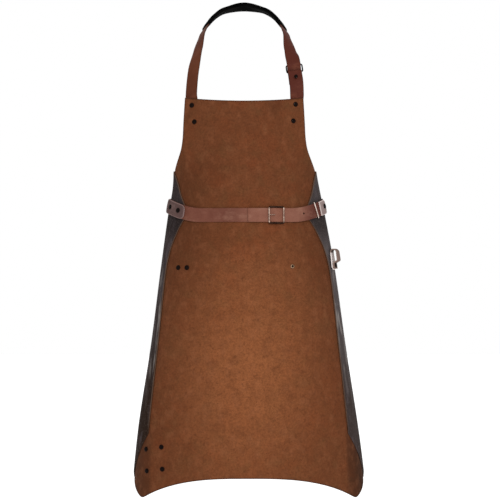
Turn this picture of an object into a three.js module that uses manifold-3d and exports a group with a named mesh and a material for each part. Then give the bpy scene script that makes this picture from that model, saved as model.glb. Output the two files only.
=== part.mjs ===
// Leather bib apron as it hangs when worn, with nothing inside it.
// Millimetres, +Z up, the front faces -Y. The origin is the rest on the back of the neck,
// at the middle of the neck pad's underside.
import * as THREE from 'three';
import { mergeVertices } from 'three/addons/utils/BufferGeometryUtils.js';
import Module from 'manifold-3d';

const wasm = await Module();
wasm.setup();

// Leather
const FRONT_THICKNESS = 1.8;
const SIDE_THICKNESS = 2.2;
const STRAP_WIDTH = 31;
const STRAP_THICKNESS = 2.4;
const SHEET_GAP = 0.9;

// The worn form, a row for each level: half breadth, y of the centre line, depth from there back to
// the widest point, how square the section is (2 is an ellipse), and the sideways sway as it hangs.
const FORM = [
  { z: -195, half: 167, front: -150, depth: 60, square: 2.0, sway: 0 },
  { z: -315, half: 161, front: -160, depth: 74, square: 2.0, sway: 0 },
  { z: -370, half: 158, front: -163, depth: 84, square: 2.1, sway: 1 },
  { z: -420, half: 163, front: -163, depth: 92, square: 2.2, sway: 4 },
  { z: -475, half: 174, front: -162, depth: 99, square: 2.3, sway: 5 },
  { z: -605, half: 195, front: -167, depth: 112, square: 2.7, sway: 8 },
  { z: -775, half: 218, front: -173, depth: 126, square: 3.1, sway: 9 },
  { z: -940, half: 244, front: -177, depth: 138, square: 3.2, sway: 9 },
  { z: -1035, half: 256, front: -180, depth: 143, square: 3.2, sway: 10 },
  { z: -1125, half: 265, front: -182, depth: 147, square: 3.2, sway: 11 },
];

// Cut of the front panel: half the flat width at each level, and the heights of its top and hem.
const FRONT_CUT = [
  { z: -221, edge: 135 },
  { z: -274, edge: 140 },
  { z: -314, edge: 144 },
  { z: -340, edge: 152 },
  { z: -366, edge: 171 },
  { z: -381, edge: 189 },
  { z: -396, edge: 210 },
  { z: -415, edge: 234 },
  { z: -437, edge: 252 },
  { z: -475, edge: 264 },
  { z: -1060, edge: 378 },
];
const BIB_TOP = -221;
const BIB_DIP = 9;
const HEM_MIDDLE = -1059;
const HEM_DROP = 53;
const HEM_TIP = 252;
const HEM_RISE = 0.6;
const HEM_TIP_ROUND = 9;

// Cut of a side panel: its front edge at each level, and the slanted end over the hem corner.
const SIDE_CUT = [
  { z: -383, edge: 188 },
  { z: -400, edge: 171 },
  { z: -434, edge: 155 },
  { z: -478, edge: 138 },
  { z: -515, edge: 159 },
  { z: -560, edge: 183 },
  { z: -610, edge: 197 },
  { z: -760, edge: 211 },
  { z: -966, edge: 230 },
];
const SIDE_SLANT = 1.25;
const SIDE_INSET = 2;

// Neck strap, a row for each point of its middle line from the left shoulder to the right, with the
// turn of its face away from the front in degrees.
const NECK_ROUTE = [
  { x: -117.5, y: -125, z: -211, turn: 34 },
  { x: -113, y: -114, z: -157, turn: 36 },
  { x: -104, y: -93, z: -109, turn: 51 },
  { x: -95, y: -69, z: -69, turn: 68 },
  { x: -87, y: -55, z: -51, turn: 76 },
  { x: -71.5, y: -37, z: -28, turn: 86 },
  { x: -47, y: -17, z: -8, turn: 92 },
  { x: 0, y: 1.4, z: 4.5, turn: 107 },
  { x: 47, y: -17, z: -8, turn: 92 },
  { x: 71.5, y: -37, z: -28, turn: 86 },
  { x: 87, y: -55, z: -51, turn: 76 },
  { x: 95, y: -69, z: -69, turn: 64 },
  { x: 103, y: -93, z: -109, turn: 34 },
  { x: 109, y: -106, z: -133, turn: 4 },
  { x: 112.5, y: -113.5, z: -157, turn: 2 },
  { x: 116, y: -121, z: -181, turn: 2 },
  { x: 117.5, y: -126, z: -211, turn: 8 },
];
const NECK_ANCHOR = 121;
const NECK_ANCHOR_LEVELS = [-232, -268, -300];
const NECK_ANCHOR_GAP = 1.6;

// Neck pad, a sleeve round the strap between two distances from the top of the route.
const PAD_LEFT = 124;
const PAD_RIGHT = 126;
const PAD_WIDTH = 36;
const PAD_THICKNESS = 9.5;
const PAD_END_THICKNESS = 0.9;
const PAD_END_LENGTH = 12;
const PAD_SLOT_FIT = 1.4;
const PAD_SIDES = 12;
const PAD_SQUARENESS = 0.5;

// Buckles: outer size along and across the strap, the bar's size, and the corners outside and inside
const NECK_BUCKLE = { along: 21, across: 38.6, bar: 3, thick: 2.2 };
const NECK_BUCKLE_LEVEL = -152;
const NECK_BUCKLE_SHIFT = -0.5;
const NECK_FOLD_END = 24;
const NECK_FOLD_RIVET = 15.5;
const NECK_TAIL = 26;
const NECK_TAIL_DROP = 2.5;
const BELT_BUCKLE = { along: 36, across: 39, bar: 3.4, thick: 2.4 };
const BELT_BUCKLE_PLACE = 65;
const CENTRE_BAR = 2.2;
const PRONG_RADIUS = 0.8;
const PRONG_PLACE = BELT_BUCKLE_PLACE - 3.5;
const FRAME_CORNER = 3;
const WINDOW_CORNER = 1;
const CORNER_STEPS = 3;

// Belt: its level in front, and its rise to the back between two distances from the centre line
const BELT_LEVEL = -482;
const BELT_RISE = 24;
const BELT_RISE_FROM = 100;
const BELT_RISE_TO = 225;
const BELT_END = 5;
const BELT_TAIL = 62;
const BELT_HOLE_PLACE = 127;
const BELT_HOLE = 2;
const BELT_GAP = 0.8;
const BELT_LIE = STRAP_THICKNESS / 2 + BELT_GAP;
const BELT_OVER_SIDE = BELT_LIE + SIDE_THICKNESS + SHEET_GAP;
const BELT_ON_BELT_GAP = 0.5;
const CENTRE_BAR_GAP = 0.4;
const FRAME_GAP = 0.6;

// Where the belt climbs: before the left side panel's edge, after the buckle, and at the keeper
const CLIMB_FROM = 40;
const CLIMB_TO = 10;
const BUCKLE_CLIMB_FROM = 10;
const BUCKLE_CLIMB_TO = 3;
const KEPT_FROM = 151;
const KEPT_TO = 190;
const KEEPER_PLACE = 159;
const KEEPER_BAR = 2.6;
const KEEPER_GAP = 0.6;

// Tabs over the belt at the sides, from their front ends to their back ends
const TAB_LEFT_FRONT = 139.5;
const TAB_RIGHT_FRONT = 172;
const TAB_BACK = 215;
const TAB_GAP = 0.6;
const TAB_ROUND = 11;
const TAB_RIGHT_BACK = 205;
const TAB_RIGHT_ROUND = 16;
const TAB_RIGHT_END_WIDTH = 0.1;
const TAB_END_WIDTH = 0.45;

// Side loop, a strap up the side panel that folds over at the top: its middle line's distance from the
// centre line, its top, and distances down from there
const LOOP_PLACE = 214;
const LOOP_TOP = -556;
const LOOP_REACH = 15.4;
const LOOP_BEND_FROM = 25;
const LOOP_BEND_TO = 32.5;
const LOOP_RIVET = 39;
const LOOP_END = 45;
const LOOP_TIP = 47;
const LOOP_TIP_LENGTH = 9;
const LOOP_TIP_WIDTH = 0.3;

// Rivets and the hip stud, a ring round a sunk middle
const CAP_RADIUS = 5.4;
const CAP_HEIGHT = 2.2;
const CAP_SHOULDER = { radius: 0.75 * CAP_RADIUS, height: 0.8 * CAP_HEIGHT };
const SHANK_RADIUS = 1.8;
const BACK_RADIUS = 4.2;
const BACK_HEIGHT = 1.2;
const HOLE_FIT = 0.35;
const CAP_FIT = 0.6;
const STUD = { outer: 4.6, edge: 0.6, inner: 2, height: 1.1, middle: 0.3 };
const DRILL_REACH = 30;

const COLOURS = {
  front: { color: 0x6b412c, roughness: 0.85, metalness: 0 },
  side: { color: 0x3c3432, roughness: 0.45, metalness: 0 },
  strap: { color: 0x75473a, roughness: 0.6, metalness: 0 },
  pad: { color: 0x0c0c0c, roughness: 0.7, metalness: 0 },
  dark: { color: 0x241a17, roughness: 0.35, metalness: 1 },
  bright: { color: 0xd8c0b6, roughness: 0.25, metalness: 1 },
};

const lerp = THREE.MathUtils.lerp;

// Smooth value of one column of a table whose rows go down in z
function columnAt(table, column, z) {
  const last = table.length - 1;
  let row = 0;
  while (row < last - 1 && z < table[row + 1].z) {
    row += 1;
  }
  const here = table[row];
  const next = table[row + 1];
  const before = table[Math.max(row - 1, 0)];
  const after = table[Math.min(row + 2, last)];
  const step = next.z - here.z;
  const slopeHere = (next[column] - before[column]) / (next.z - before.z);
  const slopeNext = (after[column] - here[column]) / (after.z - here.z);
  const t = THREE.MathUtils.clamp((z - here.z) / step, 0, 1);
  const t2 = t * t;
  const t3 = t2 * t;
  return (2 * t3 - 3 * t2 + 1) * here[column] + (t3 - 2 * t2 + t) * slopeHere * step
    + (3 * t2 - 2 * t3) * next[column] + (t3 - t2) * slopeNext * step;
}

// Section of the form at one level: points from the centre line round to the middle of the back,
// with their distance along the section
const SECTION_STEPS = 80;
const sections = new Map();
function sectionAt(z) {
  const key = z.toFixed(2);
  if (sections.has(key)) {
    return sections.get(key);
  }
  const level = {};
  for (const column of ['half', 'front', 'depth', 'square', 'sway']) {
    level[column] = columnAt(FORM, column, z);
  }
  const points = [];
  let distance = 0;
  for (let i = 0; i <= 2 * SECTION_STEPS; i += 1) {
    const behind = i > SECTION_STEPS;
    const t = (behind ? 2 * SECTION_STEPS - i : i) / SECTION_STEPS;
    const even = level.square / 2;
    const angle = (Math.PI / 2) * t ** even / (t ** even + (1 - t) ** even);
    const x = level.half * Math.sin(angle) ** (2 / level.square);
    const reach = Math.cos(angle) ** (2 / level.square);
    const y = level.front + level.depth * (behind ? 1 + reach : 1 - reach);
    if (i > 0) {
      distance += Math.hypot(x - points[i - 1].x, y - points[i - 1].y);
    }
    points.push({ x, y, distance });
  }
  const section = { level, points, round: distance };
  sections.set(key, section);
  return section;
}

// Point at a flat distance from the centre line, at a level, lifted off the form
function formPoint(along, z, lift) {
  const { level, points } = sectionAt(z);
  const side = along < 0 ? -1 : 1;
  const distance = Math.abs(along);
  let low = 0;
  let high = points.length - 1;
  while (high - low > 1) {
    const middle = (low + high) >> 1;
    if (points[middle].distance <= distance) {
      low = middle;
    } else {
      high = middle;
    }
  }
  const span = points[high].distance - points[low].distance;
  const t = (distance - points[low].distance) / span;
  const x = lerp(points[low].x, points[high].x, t);
  const y = lerp(points[low].y, points[high].y, t);
  const across = THREE.MathUtils.clamp(x / level.half, 0, 1);
  const deep = (level.front + level.depth - y) / level.depth;
  const normal = new THREE.Vector2(
    across ** (level.square - 1) / level.half,
    -Math.sign(deep) * Math.abs(deep) ** (level.square - 1) / level.depth,
  ).normalize();
  return new THREE.Vector3(level.sway + side * (x + normal.x * lift), y + normal.y * lift, z);
}

// Closed solid from rings of points, each joined to the next, with flat ends
function loft(rings) {
  const count = rings[0].length;
  const corners = [];
  const triangles = [];
  for (const ring of rings) {
    for (const point of ring) {
      corners.push(point.x, point.y, point.z);
    }
  }
  for (let i = 0; i + 1 < rings.length; i += 1) {
    for (let j = 0; j < count; j += 1) {
      const a = i * count + j;
      const b = i * count + (j + 1) % count;
      triangles.push(a, b, b + count, a, b + count, a + count);
    }
  }
  const end = (rings.length - 1) * count;
  for (let j = 1; j + 1 < count; j += 1) {
    triangles.push(0, j + 1, j);
    triangles.push(end, end + j, end + j + 1);
  }
  return facingOut(corners, triangles);
}

// Closed sheet between two grids of points, row by row
function sheet(outer, inner) {
  const rows = outer.length;
  const columns = outer[0].length;
  const corners = [];
  const triangles = [];
  for (const grid of [outer, inner]) {
    for (const row of grid) {
      for (const point of row) {
        corners.push(point.x, point.y, point.z);
      }
    }
  }
  const behind = rows * columns;
  const quad = (a, b, c, d) => triangles.push(a, b, c, a, c, d);
  for (let i = 0; i + 1 < rows; i += 1) {
    for (let j = 0; j + 1 < columns; j += 1) {
      const a = i * columns + j;
      const c = a + columns;
      quad(a, c, c + 1, a + 1);
      quad(behind + a, behind + a + 1, behind + c + 1, behind + c);
    }
  }
  const rim = [];
  for (let j = 0; j < columns - 1; j += 1) {
    rim.push(j);
  }
  for (let i = 0; i < rows - 1; i += 1) {
    rim.push(i * columns + columns - 1);
  }
  for (let j = columns - 1; j > 0; j -= 1) {
    rim.push((rows - 1) * columns + j);
  }
  for (let i = rows - 1; i > 0; i -= 1) {
    rim.push(i * columns);
  }
  rim.forEach((a, place) => {
    const b = rim[(place + 1) % rim.length];
    quad(a, b, behind + b, behind + a);
  });
  return facingOut(corners, triangles);
}

// Geometry with its faces turned outwards
function facingOut(corners, triangles) {
  const point = (index) => new THREE.Vector3().fromArray(corners, 3 * index);
  let volume = 0;
  for (let i = 0; i < triangles.length; i += 3) {
    volume += point(triangles[i]).dot(point(triangles[i + 1]).cross(point(triangles[i + 2])));
  }
  const turned = [];
  for (let i = 0; i < triangles.length; i += 3) {
    const [a, b, c] = triangles.slice(i, i + 3);
    turned.push(a, ...(volume > 0 ? [b, c] : [c, b]));
  }
  const geometry = new THREE.BufferGeometry();
  geometry.setAttribute('position', new THREE.Float32BufferAttribute(corners, 3));
  geometry.setIndex(turned);
  return geometry;
}

// Booleans
function toSolid(geometry) {
  const bare = geometry.clone();
  bare.deleteAttribute('normal');
  bare.deleteAttribute('uv');
  const merged = mergeVertices(bare, 1e-4);
  const mesh = new wasm.Mesh({
    numProp: 3,
    vertProperties: new Float32Array(merged.attributes.position.array),
    triVerts: new Uint32Array(merged.index.array),
  });
  return new wasm.Manifold(mesh);
}

function toGeometry(solid) {
  const mesh = solid.getMesh();
  const geometry = new THREE.BufferGeometry();
  geometry.setAttribute('position', new THREE.Float32BufferAttribute(mesh.vertProperties, 3));
  geometry.setIndex(Array.from(mesh.triVerts));
  return geometry;
}

const cut = (geometry, tools) => toGeometry(
  tools.reduce((solid, tool) => solid.subtract(toSolid(tool)), toSolid(geometry)),
);
const join = (pieces) => toGeometry(
  pieces.slice(1).reduce((solid, piece) => solid.add(toSolid(piece)), toSolid(pieces[0])),
);

// Front panel
const edgeOfFront = (z) => columnAt(FRONT_CUT, 'edge', z);
const topOfBib = (along) => BIB_TOP - BIB_DIP + BIB_DIP * (along / FRONT_CUT[0].edge) ** 2;

function hemAt(along) {
  const distance = Math.abs(along);
  const falling = HEM_MIDDLE - HEM_DROP * (distance / HEM_TIP) ** 3;
  const rising = HEM_MIDDLE - HEM_DROP + HEM_RISE * (distance - HEM_TIP);
  return (falling + rising + Math.hypot(falling - rising, HEM_TIP_ROUND)) / 2;
}

const FRONT_ROWS = 20;
const FRONT_FLAT_COLUMNS = 4;
const FRONT_TURNED_COLUMNS = 12;
const FRONT_FLAT_SHARE = 0.45;

function frontShares() {
  const half = [];
  for (let i = 1; i <= FRONT_FLAT_COLUMNS; i += 1) {
    half.push(FRONT_FLAT_SHARE * i / FRONT_FLAT_COLUMNS);
  }
  for (let i = 1; i <= FRONT_TURNED_COLUMNS; i += 1) {
    half.push(lerp(FRONT_FLAT_SHARE, 1, i / FRONT_TURNED_COLUMNS));
  }
  return [...half.map((share) => -share).reverse(), 0, ...half];
}

function frontPanel() {
  const hemEdge = FRONT_CUT[FRONT_CUT.length - 1].edge;
  const grid = (lift) => {
    const rows = [];
    for (let i = 0; i <= FRONT_ROWS; i += 1) {
      const down = i / FRONT_ROWS;
      const edge = edgeOfFront(lerp(BIB_TOP, hemAt(hemEdge), down));
      rows.push(frontShares().map((share) => {
        const top = topOfBib(share * FRONT_CUT[0].edge);
        return formPoint(share * edge, lerp(top, hemAt(share * hemEdge), down), lift);
      }));
    }
    return rows;
  };
  return sheet(grid(0), grid(-FRONT_THICKNESS));
}

// Side panels
const SIDE_ROWS = 21;
const SIDE_COLUMNS = 10;
const LEVEL_TOLERANCE = 0.01;

function armholeAt(along) {
  let low = FRONT_CUT[FRONT_CUT.length - 2].z;
  let high = BIB_TOP;
  while (high - low > LEVEL_TOLERANCE) {
    const middle = (low + high) / 2;
    if (edgeOfFront(middle) > along) {
      low = middle;
    } else {
      high = middle;
    }
  }
  return low;
}

function sidePanel(side) {
  const first = SIDE_CUT[0];
  const last = SIDE_CUT[SIDE_CUT.length - 1];
  const backTop = FRONT_CUT[FRONT_CUT.length - 2];
  const hemEdge = FRONT_CUT[FRONT_CUT.length - 1].edge;
  const endAt = (along) => Math.max(
    last.z - SIDE_SLANT * (along - last.edge),
    hemAt(along) + SIDE_INSET,
  );
  const grid = (lift) => {
    const rows = [];
    for (let i = 0; i <= SIDE_ROWS; i += 1) {
      const down = i / SIDE_ROWS;
      const row = [];
      for (let j = 0; j <= SIDE_COLUMNS; j += 1) {
        const round = j / SIDE_COLUMNS;
        const top = armholeAt(lerp(first.edge, backTop.edge - SIDE_INSET, round)) - SIDE_INSET;
        const end = endAt(lerp(last.edge, hemEdge - SIDE_INSET, round));
        const front = columnAt(SIDE_CUT, 'edge', lerp(first.z, last.z, down));
        const backLevel = lerp(backTop.z, hemAt(hemEdge), down);
        const along = lerp(front, edgeOfFront(backLevel) - SIDE_INSET, round);
        row.push(formPoint(side * along, lerp(top, end, down), lift));
      }
      rows.push(row);
    }
    return rows;
  };
  return sheet(grid(SHEET_GAP + SIDE_THICKNESS), grid(SHEET_GAP));
}

// Straps: a strip of leather along a path of points (distance along, lift) on a carrier, with a width
// for each distance from the path's two ends
function strip(carrier, path, widthAt) {
  const thickness = STRAP_THICKNESS;
  const steps = path.map((point, i) => point.distanceTo(path[Math.max(i - 1, 0)]));
  const length = steps.reduce((sum, step) => sum + step, 0);
  let run = 0;
  const rings = path.map((point, i) => {
    const before = path[Math.max(i - 1, 0)];
    const after = path[Math.min(i + 1, path.length - 1)];
    run += steps[i];
    const width = widthAt(run, length - run);
    const out = new THREE.Vector2(-(after.y - before.y), after.x - before.x).normalize();
    const face = out.clone().multiplyScalar(thickness / 2);
    const top = point.clone().add(face);
    const under = point.clone().sub(face);
    return [
      carrier(top.x, top.y, width / 2),
      carrier(top.x, top.y, -width / 2),
      carrier(under.x, under.y, -width / 2),
      carrier(under.x, under.y, width / 2),
    ];
  });
  return loft(rings);
}

const fullWidth = () => STRAP_WIDTH;

// Width of a strap with ends rounded over a stretch, down to a share of the full width
const rounded = (distance, stretch, endShare) => {
  const short = 1 - THREE.MathUtils.clamp(distance / stretch, 0, 1);
  return STRAP_WIDTH * lerp(endShare, 1, Math.sqrt(1 - short * short));
};
const roundedFirst = (stretch, endShare) => (run) => rounded(run, stretch, endShare);
const roundedLast = (stretch, endShare) => (run, rest) => rounded(rest, stretch, endShare);
const roundedBoth = (stretch, endShare) => (run, rest) => rounded(Math.min(run, rest), stretch, endShare);

// Frame of reference at a place on a carrier: along, across and out
function seat(carrier, along, lift, across) {
  const step = 2;
  const place = carrier(along, lift, across);
  const ahead = carrier(along + step, lift, across).sub(carrier(along - step, lift, across)).normalize();
  const aside = carrier(along, lift, across + step).sub(carrier(along, lift, across - step)).normalize();
  const out = new THREE.Vector3().crossVectors(ahead, aside).normalize();
  aside.crossVectors(out, ahead);
  return new THREE.Matrix4().makeBasis(ahead, aside, out).setPosition(place);
}

// Neck strap route
function neckAnchors(side) {
  const lift = -(FRONT_THICKNESS + NECK_ANCHOR_GAP + STRAP_THICKNESS / 2);
  const rows = NECK_ANCHOR_LEVELS.map((z) => {
    const place = formPoint(side * NECK_ANCHOR, z, lift);
    const out = formPoint(side * NECK_ANCHOR, z, lift + 1).sub(place);
    const turn = THREE.MathUtils.radToDeg(Math.atan2(side * out.x, -out.y));
    return { x: place.x, y: place.y, z, turn };
  });
  return side < 0 ? rows.reverse() : rows;
}

const neckRows = [...neckAnchors(-1), ...NECK_ROUTE, ...neckAnchors(1)];
const neckCurve = new THREE.CatmullRomCurve3(
  neckRows.map((row) => new THREE.Vector3(row.x, row.y, row.z)),
  false,
  'centripetal',
);
neckCurve.arcLengthDivisions = 1000;
const neckLength = neckCurve.getLength();
const FRONT = new THREE.Vector3(0, -1, 0);

function neckDistance(wanted) {
  let low = 0;
  let high = 1;
  for (let i = 0; i < 40; i += 1) {
    const middle = (low + high) / 2;
    if (wanted(neckCurve.getPointAt(middle))) {
      high = middle;
    } else {
      low = middle;
    }
  }
  return low * neckLength;
}
const neckTop = neckDistance((point) => point.x > 0);
const neckBuckle = neckDistance((point) => point.x > 0 && point.z < NECK_BUCKLE_LEVEL);

function neckCarrier(along, lift, across) {
  const share = THREE.MathUtils.clamp(along / neckLength, 0, 1);
  const place = neckCurve.getUtoTmapping(share, 0) * (neckRows.length - 1);
  const row = Math.min(Math.floor(place), neckRows.length - 2);
  const ease = THREE.MathUtils.smoothstep(place - row, 0, 1);
  const turn = THREE.MathUtils.degToRad(lerp(neckRows[row].turn, neckRows[row + 1].turn, ease));
  const ahead = neckCurve.getTangentAt(share);
  const aside = new THREE.Vector3().crossVectors(ahead, FRONT).normalize();
  const out = new THREE.Vector3().crossVectors(aside, ahead);
  const width = aside.clone().multiplyScalar(Math.cos(turn)).addScaledVector(out, Math.sin(turn));
  const face = out.clone().multiplyScalar(Math.cos(turn)).addScaledVector(aside, -Math.sin(turn));
  return neckCurve.getPointAt(share).addScaledVector(face, lift).addScaledVector(width, across);
}

// Points of a path at even steps between rows of (along, lift)
function eased(rows, step) {
  const points = [];
  for (let i = 0; i + 1 < rows.length; i += 1) {
    const [from, to] = [rows[i], rows[i + 1]];
    const count = Math.max(1, Math.ceil(Math.abs(to.along - from.along) / step));
    for (let j = 0; j < count; j += 1) {
      const t = j / count;
      const lift = lerp(from.lift, to.lift, THREE.MathUtils.smoothstep(t, 0, 1));
      points.push(new THREE.Vector2(lerp(from.along, to.along, t), lift));
    }
  }
  const last = rows[rows.length - 1];
  points.push(new THREE.Vector2(last.along, last.lift));
  return points;
}

// Half turn of a strap from below a bar to above it, with the bend towards the start of the carrier
function halfTurn(along, lift, radius) {
  const steps = 8;
  const points = [];
  for (let i = 0; i <= steps; i += 1) {
    const angle = Math.PI * i / steps;
    points.push(new THREE.Vector2(along - radius * Math.sin(angle), lift - radius * Math.cos(angle)));
  }
  return points;
}

const NECK_STEP = 12;
const TURN_LEAD = 1;
const BAR_FIT = 0.8;
const foldRadius = NECK_BUCKLE.bar / 2 + BAR_FIT + STRAP_THICKNESS / 2;
const neckLowerBar = neckBuckle + (NECK_BUCKLE.along - NECK_BUCKLE.bar) / 2;
const neckUpperBar = neckBuckle - (NECK_BUCKLE.along - NECK_BUCKLE.bar) / 2;

// The long strap comes over the upper bar, passes straight behind the fold on the lower bar,
// and its tail hangs behind the short strap
function neckStrapLong() {
  const overBar = foldRadius;
  const underFold = foldRadius + 2 * BAR_FIT + STRAP_THICKNESS;
  const lean = Math.asin((overBar + underFold) / (neckLowerBar - neckUpperBar));
  const tangent = (place, reach) => new THREE.Vector2(
    place + reach * Math.sin(lean),
    reach * Math.cos(lean) - foldRadius,
  );
  const tailLift = -foldRadius - underFold;
  const path = [
    ...eased([{ along: 0, lift: 0 }, { along: neckUpperBar - NECK_BUCKLE.bar, lift: 0 }], NECK_STEP),
    tangent(neckUpperBar, overBar),
    tangent(neckLowerBar, -underFold),
    ...eased([
      { along: neckLowerBar + 2 * NECK_BUCKLE.bar, lift: tailLift },
      { along: neckLowerBar + NECK_FOLD_RIVET - CAP_RADIUS, lift: tailLift - NECK_TAIL_DROP },
      { along: neckLowerBar + NECK_TAIL, lift: tailLift - NECK_TAIL_DROP },
    ], NECK_STEP),
  ];
  return strip(neckCarrier, path, fullWidth);
}

// The short strap comes up in front, turns back over the lower bar and is riveted to its own back
function neckStrapShort() {
  const behind = -2 * foldRadius;
  const path = [
    ...eased([{ along: neckLength, lift: 0 }, { along: neckLowerBar + TURN_LEAD, lift: 0 }], NECK_STEP),
    ...halfTurn(neckLowerBar, -foldRadius, foldRadius).reverse(),
    ...eased([
      { along: neckLowerBar + TURN_LEAD, lift: behind },
      { along: neckLowerBar + NECK_FOLD_END, lift: behind },
    ], NECK_STEP),
  ];
  return strip(neckCarrier, path, fullWidth);
}

// Neck pad: a rounded sleeve with a slot for the strap
function neckPad() {
  const slotWidth = STRAP_WIDTH + PAD_SLOT_FIT;
  const slotThickness = STRAP_THICKNESS + PAD_SLOT_FIT;
  const squared = (value) => Math.sign(value) * Math.abs(value) ** PAD_SQUARENESS;
  const round = (across, out, along) => {
    const ring = [];
    for (let i = 0; i < PAD_SIDES; i += 1) {
      const angle = 2 * Math.PI * (i + 0.5) / PAD_SIDES;
      const x = squared(Math.cos(angle)) * across / 2;
      const y = squared(Math.sin(angle)) * out / 2;
      ring.push(neckCarrier(along, y, x));
    }
    return ring;
  };
  const slot = (along) => [[1, 1], [-1, 1], [-1, -1], [1, -1]].map(
    ([across, out]) => neckCarrier(along, out * slotThickness / 2, across * slotWidth / 2),
  );
  const stations = (from, to) => {
    const list = [];
    const count = Math.round((to - from) / NECK_STEP);
    for (let i = 0; i <= count; i += 1) {
      list.push(lerp(from, to, i / count));
    }
    return list;
  };
  const from = neckTop - PAD_LEFT;
  const to = neckTop + PAD_RIGHT;
  const swell = (along) => {
    const end = Math.min(along - from, to - along);
    return lerp(PAD_END_THICKNESS, 1, THREE.MathUtils.smoothstep(end, 0, PAD_END_LENGTH));
  };
  const body = loft(stations(from, to).map(
    (along) => round(PAD_WIDTH, PAD_THICKNESS * swell(along), along),
  ));
  const hole = loft(stations(from - PAD_THICKNESS, to + PAD_THICKNESS).map(slot));
  return cut(body, [hole]);
}

// Buckle frames: a flat rectangle with round corners and one window
function flatFrame({ along, across, bar, thick }) {
  const rectangle = (shape, width, height, radius) => {
    const [x, y] = [width / 2, height / 2];
    shape.moveTo(-x + radius, -y);
    shape.lineTo(x - radius, -y);
    shape.absarc(x - radius, -y + radius, radius, -Math.PI / 2, 0);
    shape.lineTo(x, y - radius);
    shape.absarc(x - radius, y - radius, radius, 0, Math.PI / 2);
    shape.lineTo(-x + radius, y);
    shape.absarc(-x + radius, y - radius, radius, Math.PI / 2, Math.PI);
    shape.lineTo(-x, -y + radius);
    shape.absarc(-x + radius, -y + radius, radius, Math.PI, Math.PI * 1.5);
    return shape;
  };
  const outline = rectangle(new THREE.Shape(), along, across, FRAME_CORNER);
  outline.holes.push(rectangle(new THREE.Path(), along - 2 * bar, across - 2 * bar, WINDOW_CORNER));
  const options = { depth: thick, bevelEnabled: false, curveSegments: CORNER_STEPS };
  const geometry = new THREE.ExtrudeGeometry(outline, options);
  return geometry.translate(0, 0, -thick / 2);
}

const ROUND_SIDES = 8;
const bar = (radius, length) => new THREE.CylinderGeometry(radius, radius, length, ROUND_SIDES);

// Belt
const BELT_STEP = 12;
const beltRound = sectionAt(BELT_LEVEL).round;

function beltCarrier(along, lift, across) {
  let share = along / beltRound;
  if (share < -1) {
    share += 2;
  }
  const rise = THREE.MathUtils.smoothstep(Math.abs(share * beltRound), BELT_RISE_FROM, BELT_RISE_TO);
  const z = BELT_LEVEL + BELT_RISE * rise + across;
  return formPoint(share * sectionAt(z).round, z, lift);
}

const centreBarLift = BELT_LIE + STRAP_THICKNESS / 2 + CENTRE_BAR_GAP + CENTRE_BAR / 2;
const overCentreBar = centreBarLift + CENTRE_BAR / 2 + CENTRE_BAR_GAP + STRAP_THICKNESS / 2;
const overStrap = BELT_LIE + STRAP_THICKNESS + BELT_ON_BELT_GAP;
const beltFrameLift = overStrap + STRAP_THICKNESS / 2 + FRAME_GAP + BELT_BUCKLE.thick / 2;
const sideEdge = columnAt(SIDE_CUT, 'edge', BELT_LEVEL);
const halfBuckle = BELT_BUCKLE.along / 2;
const keeperLift = BELT_OVER_SIDE + KEEPER_BAR + KEEPER_GAP;

function beltStrap() {
  const again = -2 * beltRound;
  const buckle = again + BELT_BUCKLE_PLACE;
  const rows = [
    { along: BELT_BUCKLE_PLACE - BELT_END, lift: BELT_LIE },
    { along: CLIMB_FROM - sideEdge, lift: BELT_LIE },
    { along: CLIMB_TO - sideEdge, lift: BELT_OVER_SIDE },
    { along: again + TAB_BACK, lift: BELT_OVER_SIDE },
    { along: again + KEPT_TO, lift: keeperLift },
    { along: again + KEPT_FROM, lift: keeperLift },
    { along: buckle + halfBuckle + BUCKLE_CLIMB_FROM, lift: overStrap },
    { along: buckle + halfBuckle - BUCKLE_CLIMB_TO, lift: overStrap },
    { along: buckle, lift: overCentreBar },
    { along: buckle - halfBuckle + BUCKLE_CLIMB_TO, lift: overStrap },
    { along: buckle - BELT_TAIL, lift: overStrap },
  ];
  return strip(beltCarrier, eased(rows, BELT_STEP), fullWidth);
}

// Belt tabs: short straps over the belt with rounded ends, apart from the right one's end at the keeper
const TAB_STEP = 9;
const overBelt = STRAP_THICKNESS + TAB_GAP;

function beltTabLeft() {
  const lift = BELT_OVER_SIDE + overBelt;
  const ends = [TAB_LEFT_FRONT, TAB_LEFT_FRONT + TAB_ROUND, TAB_BACK - TAB_ROUND, TAB_BACK];
  const [front, roundTo, roundFrom, back] = ends.map((along) => ({ along: -along, lift }));
  const path = [
    ...eased([front, roundTo], TAB_ROUND / 4).slice(0, -1),
    ...eased([roundTo, roundFrom], TAB_STEP).slice(0, -1),
    ...eased([roundFrom, back], TAB_ROUND / 4),
  ];
  return strip(beltCarrier, path, roundedBoth(TAB_ROUND, TAB_END_WIDTH));
}

function beltTabRight() {
  const kept = { along: KEPT_TO, lift: keeperLift + overBelt };
  const down = { along: TAB_BACK, lift: BELT_OVER_SIDE + overBelt };
  const path = [
    ...eased([{ along: TAB_RIGHT_FRONT, lift: keeperLift + overBelt }, kept], TAB_STEP).slice(0, -1),
    ...eased([kept, down], TAB_ROUND / 4).filter(({ along }) => along <= TAB_RIGHT_BACK),
  ];
  return strip(beltCarrier, path, roundedLast(TAB_RIGHT_ROUND, TAB_RIGHT_END_WIDTH));
}

function beltBuckle() {
  const frame = flatFrame(BELT_BUCKLE);
  const lower = centreBarLift - beltFrameLift;
  const rod = bar(CENTRE_BAR / 2, BELT_BUCKLE.across - BELT_BUCKLE.bar).translate(0, 0, lower);
  const posts = [-1, 1].map((end) => bar(CENTRE_BAR / 2, -lower)
    .rotateX(Math.PI / 2)
    .translate(0, end * (BELT_BUCKLE.across / 2 - BELT_BUCKLE.bar / 2), lower / 2));
  return join([frame, rod, ...posts]);
}

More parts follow.
